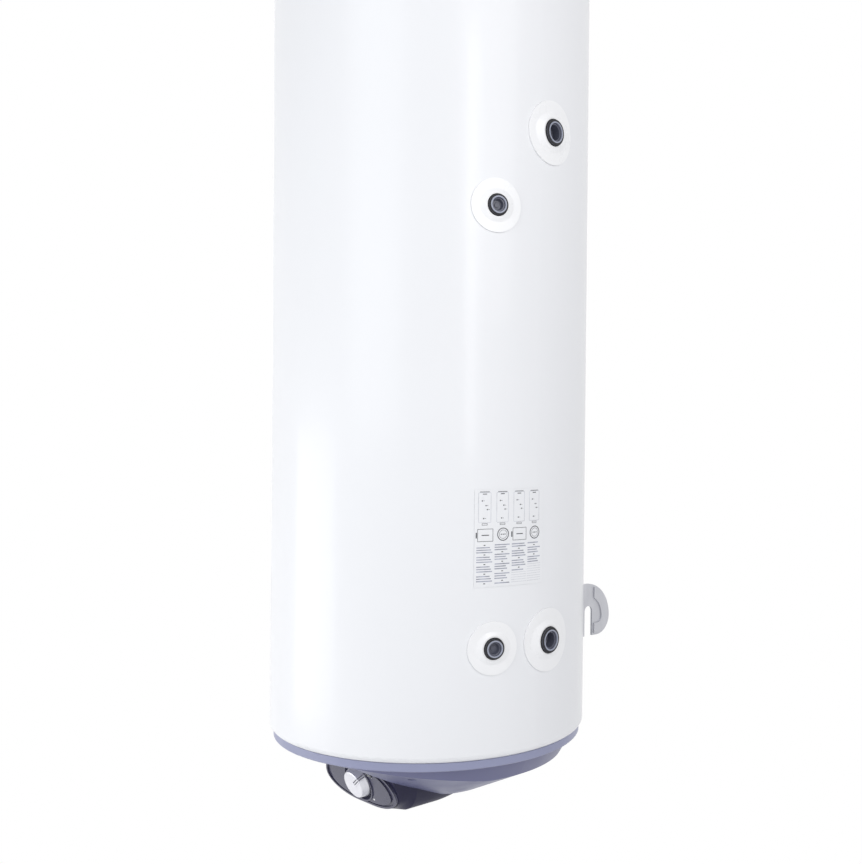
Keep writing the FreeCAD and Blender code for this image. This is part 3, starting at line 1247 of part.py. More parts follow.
def make_capillary():
    """Sensing bulb in the thermowell and the capillary that leads it to the thermostat."""
    low = "(well_length - bulb_inset - bulb_length)"
    turned = "(-under_plate - capillary_drop)"
    level = f"({turned} - capillary_bend)"
    bulb = cylinder("capillary_bulb", "bulb_radius", "bulb_length", shift("0", "-well_forward", low))
    line = cylinder("capillary_drop", "capillary_radius", f"{low} - {turned}",
                    shift("0", "-well_forward", turned))
    elbow = doc.addObject("Part::Torus", "capillary_elbow")
    bind(elbow, "Radius1", "capillary_bend")
    bind(elbow, "Radius2", "capillary_radius")
    elbow.Angle3 = 90
    place(elbow, shift("0", "-well_forward - capillary_bend", turned) + " * " + turn(ABOUT_Z, "90")
          + " * " + turn(ABOUT_X, "-90"))
    end_back = ("(fascia_forward - (dish_depth + dish_wall + seat_gap * 2 + case_length) / cos(fascia_tilt)"
                f" + ({level} + fascia_depth) * tan(fascia_tilt))")
    run = cylinder("capillary_run", "capillary_radius", f"{end_back} - well_forward - capillary_bend",
                   shift("0", "-well_forward - capillary_bend", level) + " * " + turn(ABOUT_X, "90"))
    node(fuse("capillary_line", [bulb, line, elbow, run]), "capillary_line")


def make_pipes():
    """Cold inlet with its diffuser, hot outlet that draws from the top, and their coloured collars."""
    thread_end = "-pipe_end + pipe_rounding + pipe_thread"
    for name, side, reach in (("cold_inlet", "", "inlet_reach"), ("hot_outlet", "-", "outlet_reach")):
        spot = shift(f"{side}pipe_across", "pipe_back")
        node(lathe(f"{name}_pipe", [
            ("pipe_bore", "-pipe_end"),
            ("pipe_radius", "-pipe_end", "pipe_rounding"),
            ("pipe_radius", thread_end),
            ("pipe_shank", thread_end),
            ("pipe_shank", reach),
            ("pipe_bore", reach),
        ]), f"{name}_pipe", spot)
        node(lathe(f"{name}_collar", [
            ("pipe_shank + fit_gap", "-bay_depth - collar_flange"),
            ("pipe_shank + collar_wall + collar_rim", "-bay_depth - collar_flange", "collar_edge"),
            ("pipe_shank + collar_wall + collar_rim", "-bay_depth"),
            ("pipe_shank + collar_wall", "-bay_depth"),
            ("pipe_shank + collar_wall", "-bay_depth + collar_length"),
            ("pipe_shank + fit_gap", "-bay_depth + collar_length"),
        ]), f"{name}_collar", spot)
    lid = "inlet_reach + spreader_top"
    cap = lathe("diffuser_cap", [
        ("pipe_shank + fit_gap", "inlet_reach - spreader_grip"),
        ("pipe_shank + spreader_step", "inlet_reach - spreader_grip"),
        ("spreader_radius", f"{lid} - window_height / 2"),
        ("spreader_radius", lid),
        ("0", lid),
        ("0", f"{lid} - spreader_wall"),
        ("spreader_radius - spreader_wall", f"{lid} - spreader_wall"),
        ("spreader_radius - spreader_wall", f"{lid} - spreader_wall * 2"),
        ("pipe_shank + fit_gap", "inlet_reach - spreader_step"),
    ])
    windows = [block("diffuser_window", "spreader_radius", "window_width", "window_height",
                     turn(ABOUT_Z, f"{index} * 60") + " * "
                     + shift("pipe_bore", "-window_width / 2", f"{lid} - spreader_wall * 1.5 - window_height"))
               for index in range(6)]
    node(cut("inlet_diffuser", cap, fuse("diffuser_windows", windows)), "inlet_diffuser",
         shift("pipe_across", "pipe_back"))


def make_cover_fittings():
    """Screws that hold the bottom cover, and the cable gland in its sole."""
    screws = []
    for index in range(4):
        head = cylinder("screw_head_disc", "screw_head", "screw_head_height",
                        screw_pose(index, "-pocket_depth - screw_head_height"))
        shank = cylinder("screw_shank", "screw_radius", "pocket_depth - screw_reach",
                         screw_pose(index, "-pocket_depth"))
        slot = block("screw_driver_slot", "2 * screw_head", "screw_slot", "screw_slot",
                     screw_pose(index, "-pocket_depth - screw_head_height") + " * "
                     + shift("-screw_head", "-screw_slot / 2"))
        screws.append(cut("cover_screw", fuse("screw_body", [head, shank]), slot))
    pack = doc.addObject("Part::Compound", "cover_screws")
    pack.Links = screws
    node(pack, "cover_screws")
    node(lathe("cable_gland", [
        ("gland_bore", "-cover_depth - gland_nose"),
        ("gland_shank", "-cover_depth - gland_nose", "gland_edge"),
        ("gland_flange", "-cover_depth - gland_flange_height"),
        ("gland_flange", "-cover_depth"),
        ("gland_shank", "-cover_depth"),
        ("gland_shank", "-cover_depth + gland_length"),
        ("gland_bore", "-cover_depth + gland_length"),
    ]), "cable_gland", shift("-gland_across", "gland_back"))


make_casing()
make_top_cover()
make_base_ring()
make_bottom_cover()
make_control_housing()
make_fascia()
make_pilot_lens()
make_knob()
make_thermostat()
make_ports()
make_label()
make_tank()
make_insulation()
make_brackets()
make_grommets()
make_heating_coil()
make_flange()
make_flange_fittings()
make_capillary()
make_pipes()
make_cover_fittings()
doc.recompute()

for thing in doc.Objects:
    if {"Invalid", "Error"} & set(thing.State):
        raise RuntimeError(f"{thing.Name} ({thing.Label}) failed to compute")
for thing in nodes:
    if thing.Shape.isNull() or not thing.Shape.isValid() or not thing.Shape.Solids:
        raise RuntimeError(f"{thing.Label} has no sound solid")
for thing in nodes:
    thing.Shape.exportStep(f"parts/{thing.Label}.step")
print(len(nodes), "sub-parts written")
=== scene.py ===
# %% [markdown]
# # A wall-hung indirect water heater
# The solid model of the heater is already finished and packed. This lesson dresses it: it sets up the
# camera and the light, gives every part its finish, and models the details that are too small or too fine
# for the solids, such as screw threads and the printed sticker.
#
# Blender works in metres. The heater's own lengths are easier to read in millimetres, so they are written
# that way and multiplied by MM where they are used. The origin lies on the wall, level with the upper
# hanging points. +Z is up and the heater's front faces -Y.

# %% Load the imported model
import json
import math

import bmesh
import bpy
from mathutils import Matrix, Vector


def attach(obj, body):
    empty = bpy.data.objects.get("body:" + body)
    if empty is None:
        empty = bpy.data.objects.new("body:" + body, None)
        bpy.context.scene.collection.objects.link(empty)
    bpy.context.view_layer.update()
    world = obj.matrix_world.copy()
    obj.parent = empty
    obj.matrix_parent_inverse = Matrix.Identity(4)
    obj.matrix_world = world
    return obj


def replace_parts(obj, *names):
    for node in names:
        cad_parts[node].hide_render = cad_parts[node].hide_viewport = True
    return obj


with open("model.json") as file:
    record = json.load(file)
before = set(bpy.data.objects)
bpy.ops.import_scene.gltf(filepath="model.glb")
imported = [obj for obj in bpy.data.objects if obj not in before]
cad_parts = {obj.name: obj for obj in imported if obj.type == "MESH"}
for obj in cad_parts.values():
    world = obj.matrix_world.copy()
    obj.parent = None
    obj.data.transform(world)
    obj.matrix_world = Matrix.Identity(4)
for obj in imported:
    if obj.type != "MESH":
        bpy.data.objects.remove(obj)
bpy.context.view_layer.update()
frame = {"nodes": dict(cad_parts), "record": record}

nodes = frame["nodes"]
print("parts of the solid model:", len(nodes))

# %% [markdown]
# A few places come back again and again: the point where the casing's axis meets its lower rim, the casing's
# radius, and the knob's centre on the fascia, which leans back by twenty degrees. They are written once here,
# so that a later change moves everything.

# %% The places that everything hangs on
MM = 0.001
AXIS = Vector((0, -251, -1094)) * MM
CASING_RADIUS = 220
KNOB_CENTRE = AXIS + Vector((0, -119.1, -65)) * MM
FASCIA_LEAN = math.radians(20)
FASCIA_PLACE = Matrix.Translation(KNOB_CENTRE) @ Matrix.Rotation(FASCIA_LEAN, 4, "X")
print("knob centre", [round(value, 4) for value in KNOB_CENTRE])

# %% [markdown]
# ## The camera
# The camera comes first, because every later choice is judged through it. It stands where the photographer
# stood: 51 degrees round to the heater's right, some 0.4 m above its lower rim, and nearly level. It could
# be pushed into place by eye, but the casing's two edges and its round rim fix it far better. The picture is
# a crop of a wider frame, so the lens is shifted sideways instead of turned.

# %% Set the camera where the photographer stood
PHOTO_WIDTH = 862
FOCAL_PIXELS = 1133.26
SHIFT_PIXELS = -105.5
SENSOR_WIDTH = 36
CAMERA_TURN = math.radians(51)
CAMERA_DISTANCE = 1.6182
CAMERA_HEIGHT = 0.43499
YAW, PITCH, ROLL = 0.0935, 0.0161, 0.0095

ahead = Vector((math.sin(YAW) * math.cos(PITCH), math.cos(YAW) * math.cos(PITCH), -math.sin(PITCH)))
level_right = Vector((math.cos(YAW), -math.sin(YAW), 0))
level_up = level_right.cross(ahead)
right = level_right * math.cos(ROLL) + level_up * math.sin(ROLL)
up = level_up * math.cos(ROLL) - level_right * math.sin(ROLL)
turn_round = Matrix.Rotation(CAMERA_TURN, 4, "Z")
looking = Matrix((right, up, -ahead)).transposed().to_4x4()

camera_data = bpy.data.cameras.new("photographer")
camera_data.sensor_fit = "HORIZONTAL"
camera_data.sensor_width = SENSOR_WIDTH
camera_data.lens = SENSOR_WIDTH * FOCAL_PIXELS / PHOTO_WIDTH
camera_data.shift_x = SHIFT_PIXELS / PHOTO_WIDTH
camera_data.clip_end = 100
camera = bpy.data.objects.new("photographer", camera_data)
bpy.context.scene.collection.objects.link(camera)
camera.matrix_world = (Matrix.Translation(AXIS) @ turn_round
                       @ Matrix.Translation((0, -CAMERA_DISTANCE, CAMERA_HEIGHT)) @ looking)
bpy.context.scene.camera = camera
print("lens", round(camera_data.lens, 1), "mm")

# %% [markdown]
# ## Floor, backdrop and light
# Studio pictures of white goods use a bright, even room: the background is pure white, while the product
# itself keeps its greys. In Blender the two can be set apart. What the eye sees straight, in a reflection or
# through clear plastic is plain white; what lights the heater is a lower, steady glow and a few soft lamps.

# %% A switch between what is seen and what lights
scene = bpy.context.scene
scene.view_settings.view_transform = "Standard"


def seen_or_lighting(tree, lighting, seen, share=None):
    """Mixes two shaders: rays of the camera, of gloss and of clear plastic get the second one."""
    path = tree.nodes.new("ShaderNodeLightPath")
    amount = path.outputs["Is Camera Ray"]
    for kind in ("Is Glossy Ray", "Is Transmission Ray"):
        either = tree.nodes.new("ShaderNodeMath")
        either.operation = "MAXIMUM"
        tree.links.new(amount, either.inputs[0])
        tree.links.new(path.outputs[kind], either.inputs[1])
        amount = either.outputs[0]
    if share:
        scaled = tree.nodes.new("ShaderNodeMath")
        scaled.operation = "MULTIPLY"
        tree.links.new(amount, scaled.inputs[0])
        tree.links.new(share, scaled.inputs[1])
        amount = scaled.outputs[0]
    mix = tree.nodes.new("ShaderNodeMixShader")
    tree.links.new(amount, mix.inputs["Fac"])
    tree.links.new(lighting, mix.inputs[1])
    tree.links.new(seen, mix.inputs[2])
    return mix.outputs[0]


# %% World
ROOM_TINT = (0.95, 0.96, 1.0)
ROOM_GLOW = 0.52
world = bpy.data.worlds.new("studio")
scene.world = world
world.use_nodes = True
room = world.node_tree
room_light = room.nodes["Background"]
room_light.inputs["Color"].default_value = (*ROOM_TINT, 1)
room_light.inputs["Strength"].default_value = ROOM_GLOW
seen_white = room.nodes.new("ShaderNodeBackground")
seen_white.inputs["Color"].default_value = (1, 1, 1, 1)
seen_white.inputs["Strength"].default_value = 1.0
room.links.new(seen_or_lighting(room, room_light.outputs[0], seen_white.outputs[0]),
               room.nodes["World Output"].inputs["Surface"])
print("the room's glow:", ROOM_GLOW)

# %% [markdown]
# The heater hangs well above the floor, which is there for its shadow. A plain pale disc would end against
# the white backdrop in a visible line. So its shading fades to the backdrop's white on its way out, and only
# the round patch below the heater looks like a floor.

# %% Floor
FLOOR_DROP = 0.42
FLOOR_RADIUS, FLOOR_STEPS = 14, 96
FLOOR_GREY = (0.9, 0.9, 0.9)
FADE_FROM, FADE_TO = 0.15, 0.5
floor_middle = (AXIS.x, AXIS.y, AXIS.z - FLOOR_DROP)
floor_bm = bmesh.new()
bmesh.ops.create_circle(floor_bm, cap_ends=True, segments=FLOOR_STEPS, radius=FLOOR_RADIUS)
bmesh.ops.translate(floor_bm, verts=floor_bm.verts, vec=floor_middle)
floor_mesh = bpy.data.meshes.new("floor")
floor_bm.to_mesh(floor_mesh)
floor_bm.free()
floor = bpy.data.objects.new("floor", floor_mesh)
scene.collection.objects.link(floor)

floor_finish = bpy.data.materials.new("pale_floor")
floor_finish.use_nodes = True
ground = floor_finish.node_tree
floor_shader = ground.nodes["Principled BSDF"]
floor_shader.inputs["Base Color"].default_value = (*FLOOR_GREY, 1)
floor_shader.inputs["Roughness"].default_value = 0.9
floor_shader.inputs["Specular IOR Level"].default_value = 0.1
floor_glow = ground.nodes.new("ShaderNodeEmission")
floor_glow.inputs["Color"].default_value = (1, 1, 1, 1)
floor_where = ground.nodes.new("ShaderNodeTexCoord")
floor_reach = ground.nodes.new("ShaderNodeVectorMath")
floor_reach.operation = "DISTANCE"
floor_reach.inputs[1].default_value = floor_middle
ground.links.new(floor_where.outputs["Object"], floor_reach.inputs[0])
floor_fade = ground.nodes.new("ShaderNodeMapRange")
floor_fade.inputs["From Min"].default_value = FADE_FROM
floor_fade.inputs["From Max"].default_value = FADE_TO
floor_fade.interpolation_type = "SMOOTHSTEP"
ground.links.new(floor_reach.outputs["Value"], floor_fade.inputs["Value"])
floor_surface = seen_or_lighting(ground, floor_shader.outputs[0], floor_glow.outputs[0],
                                 share=floor_fade.outputs[0])
ground.links.new(floor_surface, ground.nodes["Material Output"].inputs["Surface"])
floor_mesh.materials.append(floor_finish)
print("the floor lies", FLOOR_DROP, "m below the casing's rim")

# %% [markdown]
# A glossy white cylinder shows every lamp as a long upright glow, so the lamps are placed by the glows. The
# main one stands to the left of the camera. A low one further round lights the casing's foot at its left
# edge. To the right, a wide lamp keeps that side from going grey, and a narrow one gives the thin upright
# glow beside the upper connections. A weak lamp behind serves the views from there.

# %% Soft lamps
AIM_HEIGHT = 0.45


def studio_lamp(name, turn, distance, height, width, tall, radiance, colour=(1, 1, 1)):
    """A rectangular lamp placed round the casing's axis and facing it; its power follows from its area."""
    data = bpy.data.lights.new(name, "AREA")
    data.shape = "RECTANGLE"
    data.size = width
    data.size_y = tall
    data.energy = radiance * math.pi * width * tall
    data.color = colour
    lamp = bpy.data.objects.new(name, data)
    scene.collection.objects.link(lamp)
    angle = math.radians(turn)
    lamp.location = AXIS + Vector((distance * math.sin(angle), -distance * math.cos(angle), height))
    target = AXIS + Vector((0, 0, AIM_HEIGHT))
    lamp.rotation_euler = (target - lamp.location).to_track_quat("-Z", "Y").to_euler()


studio_lamp("key_left", turn=12, distance=3.0, height=1.3, width=2.0, tall=2.0, radiance=1.95,
            colour=(0.96, 0.985, 1.0))
studio_lamp("low_left", turn=-33, distance=1.8, height=0.0, width=1.2, tall=0.8, radiance=2.9)
studio_lamp("fill_right", turn=88, distance=1.7, height=1.25, width=1.2, tall=1.2, radiance=1.75)
studio_lamp("strip_right", turn=77, distance=1.75, height=0.85, width=0.24, tall=1.1, radiance=4.2)
studio_lamp("behind", turn=235, distance=3.2, height=1.0, width=2.0, tall=2.6, radiance=0.8)

# %% [markdown]
# ## Finishes
# Each finish starts from one physically based shader. What is the same all over, such as the gloss of a
# coat, is a plain number on the shader. What varies, such as the slight waviness of sheet metal, comes from
# noise that is laid out in the heater's own coordinates, so that it stays put from every side. A painted
# picture would do that too, but noise needs no unwrapping and is as fine as the view asks for.

# %% The shared start of every finish
NOISE_LOW, NOISE_HIGH = 0.3, 0.7


def plain_finish(name, colour, roughness, metallic=0.0):
    """A material with one shader; returns it with its node tree, shader and the place on the heater."""
    material = bpy.data.materials.new(name)
    material.use_nodes = True
    tree = material.node_tree
    shader = tree.nodes["Principled BSDF"]
    shader.inputs["Base Color"].default_value = (*colour, 1)
    shader.inputs["Roughness"].default_value = roughness
    shader.inputs["Metallic"].default_value = metallic
    where = tree.nodes.new("ShaderNodeTexCoord").outputs["Object"]
    return material, tree, shader, where


def grain(tree, where, per_metre, detail=3.0, stretch=(1, 1, 1)):
    """Noise with this many grains to the metre, drawn out along any axis with a stretch above one."""
    mapping = tree.nodes.new("ShaderNodeMapping")
    mapping.inputs["Scale"].default_value = [per_metre / amount for amount in stretch]
    tree.links.new(where, mapping.inputs["Vector"])
    noise = tree.nodes.new("ShaderNodeTexNoise")
    noise.inputs["Scale"].default_value = 1.0
    noise.inputs["Detail"].default_value = detail
    tree.links.new(mapping.outputs["Vector"], noise.inputs["Vector"])
    return noise.outputs["Fac"]


def tint(colour, amount):
    """The colour made darker or lighter."""
    return tuple(min(1.0, part * amount) for part in colour)


def shade_between(tree, shader, fac, darker, lighter):
    """The colour drifts between two close shades."""
    ramp = tree.nodes.new("ShaderNodeValToRGB")
    ramp.color_ramp.elements[0].position = NOISE_LOW
    ramp.color_ramp.elements[1].position = NOISE_HIGH
    ramp.color_ramp.elements[0].color = (*darker, 1)
    ramp.color_ramp.elements[1].color = (*lighter, 1)
    tree.links.new(fac, ramp.inputs["Fac"])
    tree.links.new(ramp.outputs["Color"], shader.inputs["Base Color"])


def vary_roughness(tree, shader, fac, low, high):
    """The gloss drifts between two values, as on a surface that has been wiped."""
    spread = tree.nodes.new("ShaderNodeMapRange")
    spread.inputs["From Min"].default_value = NOISE_LOW
    spread.inputs["From Max"].default_value = NOISE_HIGH
    spread.inputs["To Min"].default_value = low
    spread.inputs["To Max"].default_value = high
    tree.links.new(fac, spread.inputs["Value"])
    tree.links.new(spread.outputs["Result"], shader.inputs["Roughness"])


def relief(tree, shader, fac, height, strength=1.0, under=None):
    """Bumps of this height in metres; under is another relief to add them to."""
    bump = tree.nodes.new("ShaderNodeBump")
    bump.inputs["Distance"].default_value = height
    bump.inputs["Strength"].default_value = strength
    tree.links.new(fac, bump.inputs["Height"])
    if under:
        tree.links.new(under.outputs["Normal"], bump.inputs["Normal"])
    tree.links.new(bump.outputs["Normal"], shader.inputs["Normal"])
    return bump


# %% [markdown]
# The casing is sheet steel under stove enamel. The enamel is glossy, with the fine orange peel that every
# sprayed coat has, and the sheet below it is very slightly wavy, which is what makes long reflections
# waver. Two reliefs of very different sizes stand for the two.

# %% Stove enamel
def stove_enamel(name, colour):
    material, tree, shader, where = plain_finish(name, colour, roughness=0.34)
    shade_between(tree, shader, grain(tree, where, 2.2, detail=2), tint(colour, 0.985), tint(colour, 1.01))
    vary_roughness(tree, shader, grain(tree, where, 5, detail=4), low=0.3, high=0.38)
    wavy = grain(tree, where, 4.5, detail=1, stretch=(1, 1, 4))
    waves = relief(tree, shader, wavy, height=0.0008, strength=0.3)
    relief(tree, shader, grain(tree, where, 900, detail=2), height=0.00003, strength=0.4, under=waves)
    shader.inputs["Specular IOR Level"].default_value = 0.16
    shader.inputs["Coat Weight"].default_value = 0.28
    shader.inputs["Coat Roughness"].default_value = 0.14
    return material


# %% [markdown]
# Moulded plastic differs from enamel in its grain: it takes the fine texture of its mould, and its gloss is
# broken. The same recipe serves the pale ring, the domed cover, the dark housing and the white rosettes,
# with its colour, gloss and grain changed.

# %% Moulded plastic
def moulded_plastic(name, colour, gloss, grain_height=0.00002, drift=0.04, shine=0.5):
    material, tree, shader, where = plain_finish(name, colour, gloss)
    shade_between(tree, shader, grain(tree, where, 9), tint(colour, 1 - drift), tint(colour, 1 + drift))
    vary_roughness(tree, shader, grain(tree, where, 26, detail=5), low=gloss * 0.85, high=gloss * 1.2)
    flow = relief(tree, shader, grain(tree, where, 14, detail=1), height=0.0006, strength=0.12)
    relief(tree, shader, grain(tree, where, 1400, detail=2), grain_height, strength=0.5, under=flow)
    shader.inputs["Specular IOR Level"].default_value = shine
    return material


# %% [markdown]
# Bare steel shows how it was made. Turned parts have fine rings, drawn and pressed parts have streaks, and
# zinc plating has a faint crystal pattern. Noise that is drawn out strongly along one axis gives streaks.

# %% Steel, plated and bare
def bare_metal(name, colour, gloss, tarnish=0.12):
    material, tree, shader, where = plain_finish(name, colour, gloss, metallic=1.0)
    shade_between(tree, shader, grain(tree, where, 60, detail=4),
                  tint(colour, 1 - tarnish), tint(colour, 1 + tarnish / 2))
    vary_roughness(tree, shader, grain(tree, where, 140, detail=5), low=gloss * 0.75, high=gloss * 1.3)
    relief(tree, shader, grain(tree, where, 1800, stretch=(1, 1, 8)), height=0.00003, strength=0.5)
    return material


def zinc_plate(name, colour):
    """Bright zinc on pressed sheet: even and light, with faint streaks of the rolling."""
    material, tree, shader, where = plain_finish(name, colour, roughness=0.42, metallic=0.6)
    streaks = grain(tree, where, 70, detail=4, stretch=(1, 1, 3))
    shade_between(tree, shader, streaks, tint(colour, 0.95), tint(colour, 1.04))
    vary_roughness(tree, shader, grain(tree, where, 90, detail=4), low=0.36, high=0.48)
    relief(tree, shader, grain(tree, where, 700), height=0.00002, strength=0.3)
    return material


# %% [markdown]
# Next come rubber, foam and the tank's glass enamel. Rubber is dark and dull. The foam, which only shows if
# the heater is taken apart, is pale and full of tiny cells, so it gets a cell pattern instead of noise. The
# inside of the tank is coated with dark blue glass enamel with small specks.

# %% Rubber, foam and glass enamel
def dull_rubber(name, colour):
    material, tree, shader, where = plain_finish(name, colour, roughness=0.75)
    shade_between(tree, shader, grain(tree, where, 120, detail=4), tint(colour, 0.8), tint(colour, 1.5))
    relief(tree, shader, grain(tree, where, 1500), height=0.00005, strength=0.6)
    return material


def rigid_foam(name, colour):
    material, tree, shader, where = plain_finish(name, colour, roughness=0.95)
    cells = tree.nodes.new("ShaderNodeTexVoronoi")
    cells.inputs["Scale"].default_value = 900
    tree.links.new(where, cells.inputs["Vector"])
    shade_between(tree, shader, grain(tree, where, 30, detail=5), tint(colour, 0.88), tint(colour, 1.08))
    relief(tree, shader, cells.outputs["Distance"], height=0.0004, strength=0.8)
    return material


def glass_enamel(name, colour):
    material, tree, shader, where = plain_finish(name, colour, roughness=0.25)
    shade_between(tree, shader, grain(tree, where, 1100, detail=2), tint(colour, 0.6), tint(colour, 1.7))
    relief(tree, shader, grain(tree, where, 160), height=0.0002, strength=0.4)
    return material


# %% [markdown]
# The control panel has the three finest surfaces. The knob is lacquered with metal flakes under a clear
# coat, which a half metallic shader with a coat gives. The fascia is polished plastic, smoother than the
# rest, and the lamp's lens is clear, so light has to pass through it.

# %% Silver lacquer, polished plastic and clear plastic
def silver_lacquer(name, colour):
    material, tree, shader, where = plain_finish(name, colour, roughness=0.3, metallic=0.55)
    shade_between(tree, shader, grain(tree, where, 5200, detail=2), tint(colour, 0.93), tint(colour, 1.05))
    relief(tree, shader, grain(tree, where, 2600, detail=2), height=0.00001, strength=0.4)
    shader.inputs["Coat Weight"].default_value = 0.5
    shader.inputs["Coat Roughness"].default_value = 0.12
    return material


def polished_plastic(name, colour):
    material, tree, shader, where = plain_finish(name, colour, roughness=0.2)
    shade_between(tree, shader, grain(tree, where, 7), tint(colour, 0.96), tint(colour, 1.05))
    vary_roughness(tree, shader, grain(tree, where, 40, detail=5), low=0.16, high=0.3)
    relief(tree, shader, grain(tree, where, 22, detail=1), height=0.0004, strength=0.15)
    shader.inputs["Specular IOR Level"].default_value = 0.3
    shader.inputs["Coat Weight"].default_value = 0.25
    shader.inputs["Coat Roughness"].default_value = 0.08
    return material


def clear_plastic(name, colour):
    material, tree, shader, where = plain_finish(name, colour, roughness=0.05)
    shader.inputs["Transmission Weight"].default_value = 0.9
    shader.inputs["IOR"].default_value = 1.49
    relief(tree, shader, grain(tree, where, 260, detail=2), height=0.00006, strength=0.4)
    return material


# %% [markdown]
# Every part of the solid model names the slot that its finish goes into. One list of slots and finishes
# colours them all, and a slot that is missing from the list stops the script instead of leaving a part grey.

# %% Colour of every part
FINISHES = {
    "casing_enamel": stove_enamel("stove_enamel", (0.87, 0.875, 0.89)),
    "pale_plastic": moulded_plastic("pale_ring", (0.285, 0.30, 0.44), 0.34),
    "cover_plastic": moulded_plastic("cover_plastic", (0.15, 0.155, 0.272), 0.36),
    "dark_plastic": moulded_plastic("dark_housing", (0.018, 0.017, 0.048), 0.42, shine=0.3),
    "fascia_gloss": polished_plastic("fascia_gloss", (0.066, 0.065, 0.108)),
    "knob_silver": silver_lacquer("knob_silver", (0.83, 0.83, 0.88)),
    "pointer_grey": moulded_plastic("pointer_grey", (0.09, 0.09, 0.12), 0.4),
    "clear_lens": clear_plastic("clear_lens", (0.95, 0.97, 1.0)),
    "white_plastic": moulded_plastic("white_plastic", (0.92, 0.92, 0.925), 0.3, drift=0.01),
    # the plug's grey plastic, darkened as painted shade for the inside of its cup
    "plug_grey": moulded_plastic("plug_grey", (0.095, 0.10, 0.135), 0.3, grain_height=0.00004),
    # a paler copy of the plug's grey: a painted highlight along the flange's rim
    "plug_rim_painted_highlight": moulded_plastic("plug_rim_painted_highlight", (0.33, 0.35, 0.43), 0.3),
    # seal_rubber also colours the plugs' black lips, which are partly painted shade of the gap round the
    # flange
    "seal_rubber": dull_rubber("seal_rubber", (0.012, 0.012, 0.014)),
    "bare_steel": bare_metal("turned_steel", (0.52, 0.52, 0.52), 0.32),
    "zinc_steel": zinc_plate("zinc_plate", (0.56, 0.565, 0.60)),
    "tank_enamel": glass_enamel("tank_enamel", (0.012, 0.025, 0.09)),
    "foam": rigid_foam("rigid_foam", (0.72, 0.56, 0.24)),
    "label_film": moulded_plastic("label_film", (0.86, 0.865, 0.88), 0.3, drift=0.01),
    "label_ink": dull_rubber("label_ink", (0.035, 0.037, 0.045)),
    "label_grey": dull_rubber("label_grey", (0.33, 0.34, 0.40)),
    "label_faint": dull_rubber("label_faint", (0.42, 0.43, 0.47)),
    "magnesium": bare_metal("magnesium", (0.42, 0.42, 0.41), 0.55, tarnish=0.25),
    "copper_line": bare_metal("copper_line", (0.72, 0.32, 0.18), 0.25),
    "black_plastic": moulded_plastic("black_plastic", (0.016, 0.016, 0.018), 0.45),
    "red_plastic": moulded_plastic("red_plastic", (0.48, 0.02, 0.015), 0.4),
    "blue_plastic": moulded_plastic("blue_plastic", (0.012, 0.06, 0.36), 0.4),
}
slot_of = {entry["node"]: entry["material_slot"] for entry in frame["record"]["subparts"]}
for name, part in nodes.items():
    part.data.materials.clear()
    part.data.materials.append(FINISHES[slot_of[name]])
print("finishes:", len(FINISHES))

# %% [markdown]
# ## Details
# The solid model stops at shapes of a millimetre or so. Finer ones are modelled here and ride on its bodies.
# Every detail starts as a bmesh and becomes a piece in the same way, so that step is written once.

# %% From a bmesh to a piece
MERGE_WITHIN = 0.002
SHARP_FROM = math.radians(35)


def make_piece(bm, name, body, slot_name, finish=None):
    """Turns a bmesh, already in its place, into a piece that rides on a body of the solid model."""
    bmesh.ops.remove_doubles(bm, verts=bm.verts, dist=MERGE_WITHIN * MM)
    bmesh.ops.recalc_face_normals(bm, faces=bm.faces)
    mesh = bpy.data.meshes.new(name)
    bm.to_mesh(mesh)
    bm.free()
    for face in mesh.polygons:
        face.use_smooth = True
    mesh.set_sharp_from_angle(angle=SHARP_FROM)
    piece = bpy.data.objects.new(name, mesh)
    scene.collection.objects.link(piece)
    mesh.materials.append(FINISHES[finish or slot_name])
    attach(piece, body)
    return piece


# %% [markdown]
# Pipes, sockets and plugs are turned parts. On a lathe their outline is cut once while the work spins; the
# spin operator does the same with a closed outline, so the wall's inside and outside come out together.

# %% Turned parts
ROUND_STEPS = 64
UPRIGHT = (0, 0, 1)


def closed_outline(bm, points):
    """Draws a closed outline beside the Z axis from (radius, height) pairs in millimetres."""
    corners = [bm.verts.new((radius * MM, 0, height * MM)) for radius, height in points]
    edges = [bm.edges.new(pair) for pair in zip(corners, corners[1:] + corners[:1])]
    return corners + edges


def turned(points):
    """A turned solid about Z from such an outline."""
    bm = bmesh.new()
    bmesh.ops.spin(bm, geom=closed_outline(bm, points), cent=(0, 0, 0), axis=UPRIGHT, angle=2 * math.pi,
                   steps=ROUND_STEPS, use_merge=True)
    return bm


# %% [markdown]
# ### Pipe threads
# A pipe thread is one ridge wound round a plain core. Its outline is a small trapezium, and the spin operator
# lifts it by one pitch for every turn. Half-inch and three-quarter-inch pipe threads have the same pitch of
# 14 turns to the inch. Inside a socket the ridge points inwards, so only its two radii change places.

# %% A wound ridge
THREAD_PITCH = 25.4 / 14
FOOT_SHARE, TIP_SHARE = 0.46, 0.09
SUNK_IN_CORE = 0.08
TURN_STEPS = 36


def add_thread(bm, root, crest, start, end):
    """Winds a ridge between two heights, from its root's radius to its crest's, in millimetres."""
    foot, tip = FOOT_SHARE * THREAD_PITCH, TIP_SHARE * THREAD_PITCH
    sunk = root + (SUNK_IN_CORE if root > crest else -SUNK_IN_CORE)
    middle = start + foot
    ridge = closed_outline(bm, ((sunk, middle - foot), (crest, middle - tip), (crest, middle + tip),
                                (sunk, middle + foot)))
    turns = (end - start - 2 * foot) / THREAD_PITCH
    steps = int(turns * TURN_STEPS)
    bmesh.ops.spin(bm, geom=ridge, cent=(0, 0, 0), axis=UPRIGHT, angle=2 * math.pi * steps / TURN_STEPS,
                   dvec=(0, 0, THREAD_PITCH * MM / TURN_STEPS), steps=steps)
    bmesh.ops.holes_fill(bm, edges=[edge for edge in bm.edges if edge.is_boundary], sides=4)


# %% [markdown]
# The two water pipes come down in the bay at the back. Each ends in a half-inch outside thread, on a core
# that is turned a little thinner than the pipe. Both have the same outline and differ in height alone.

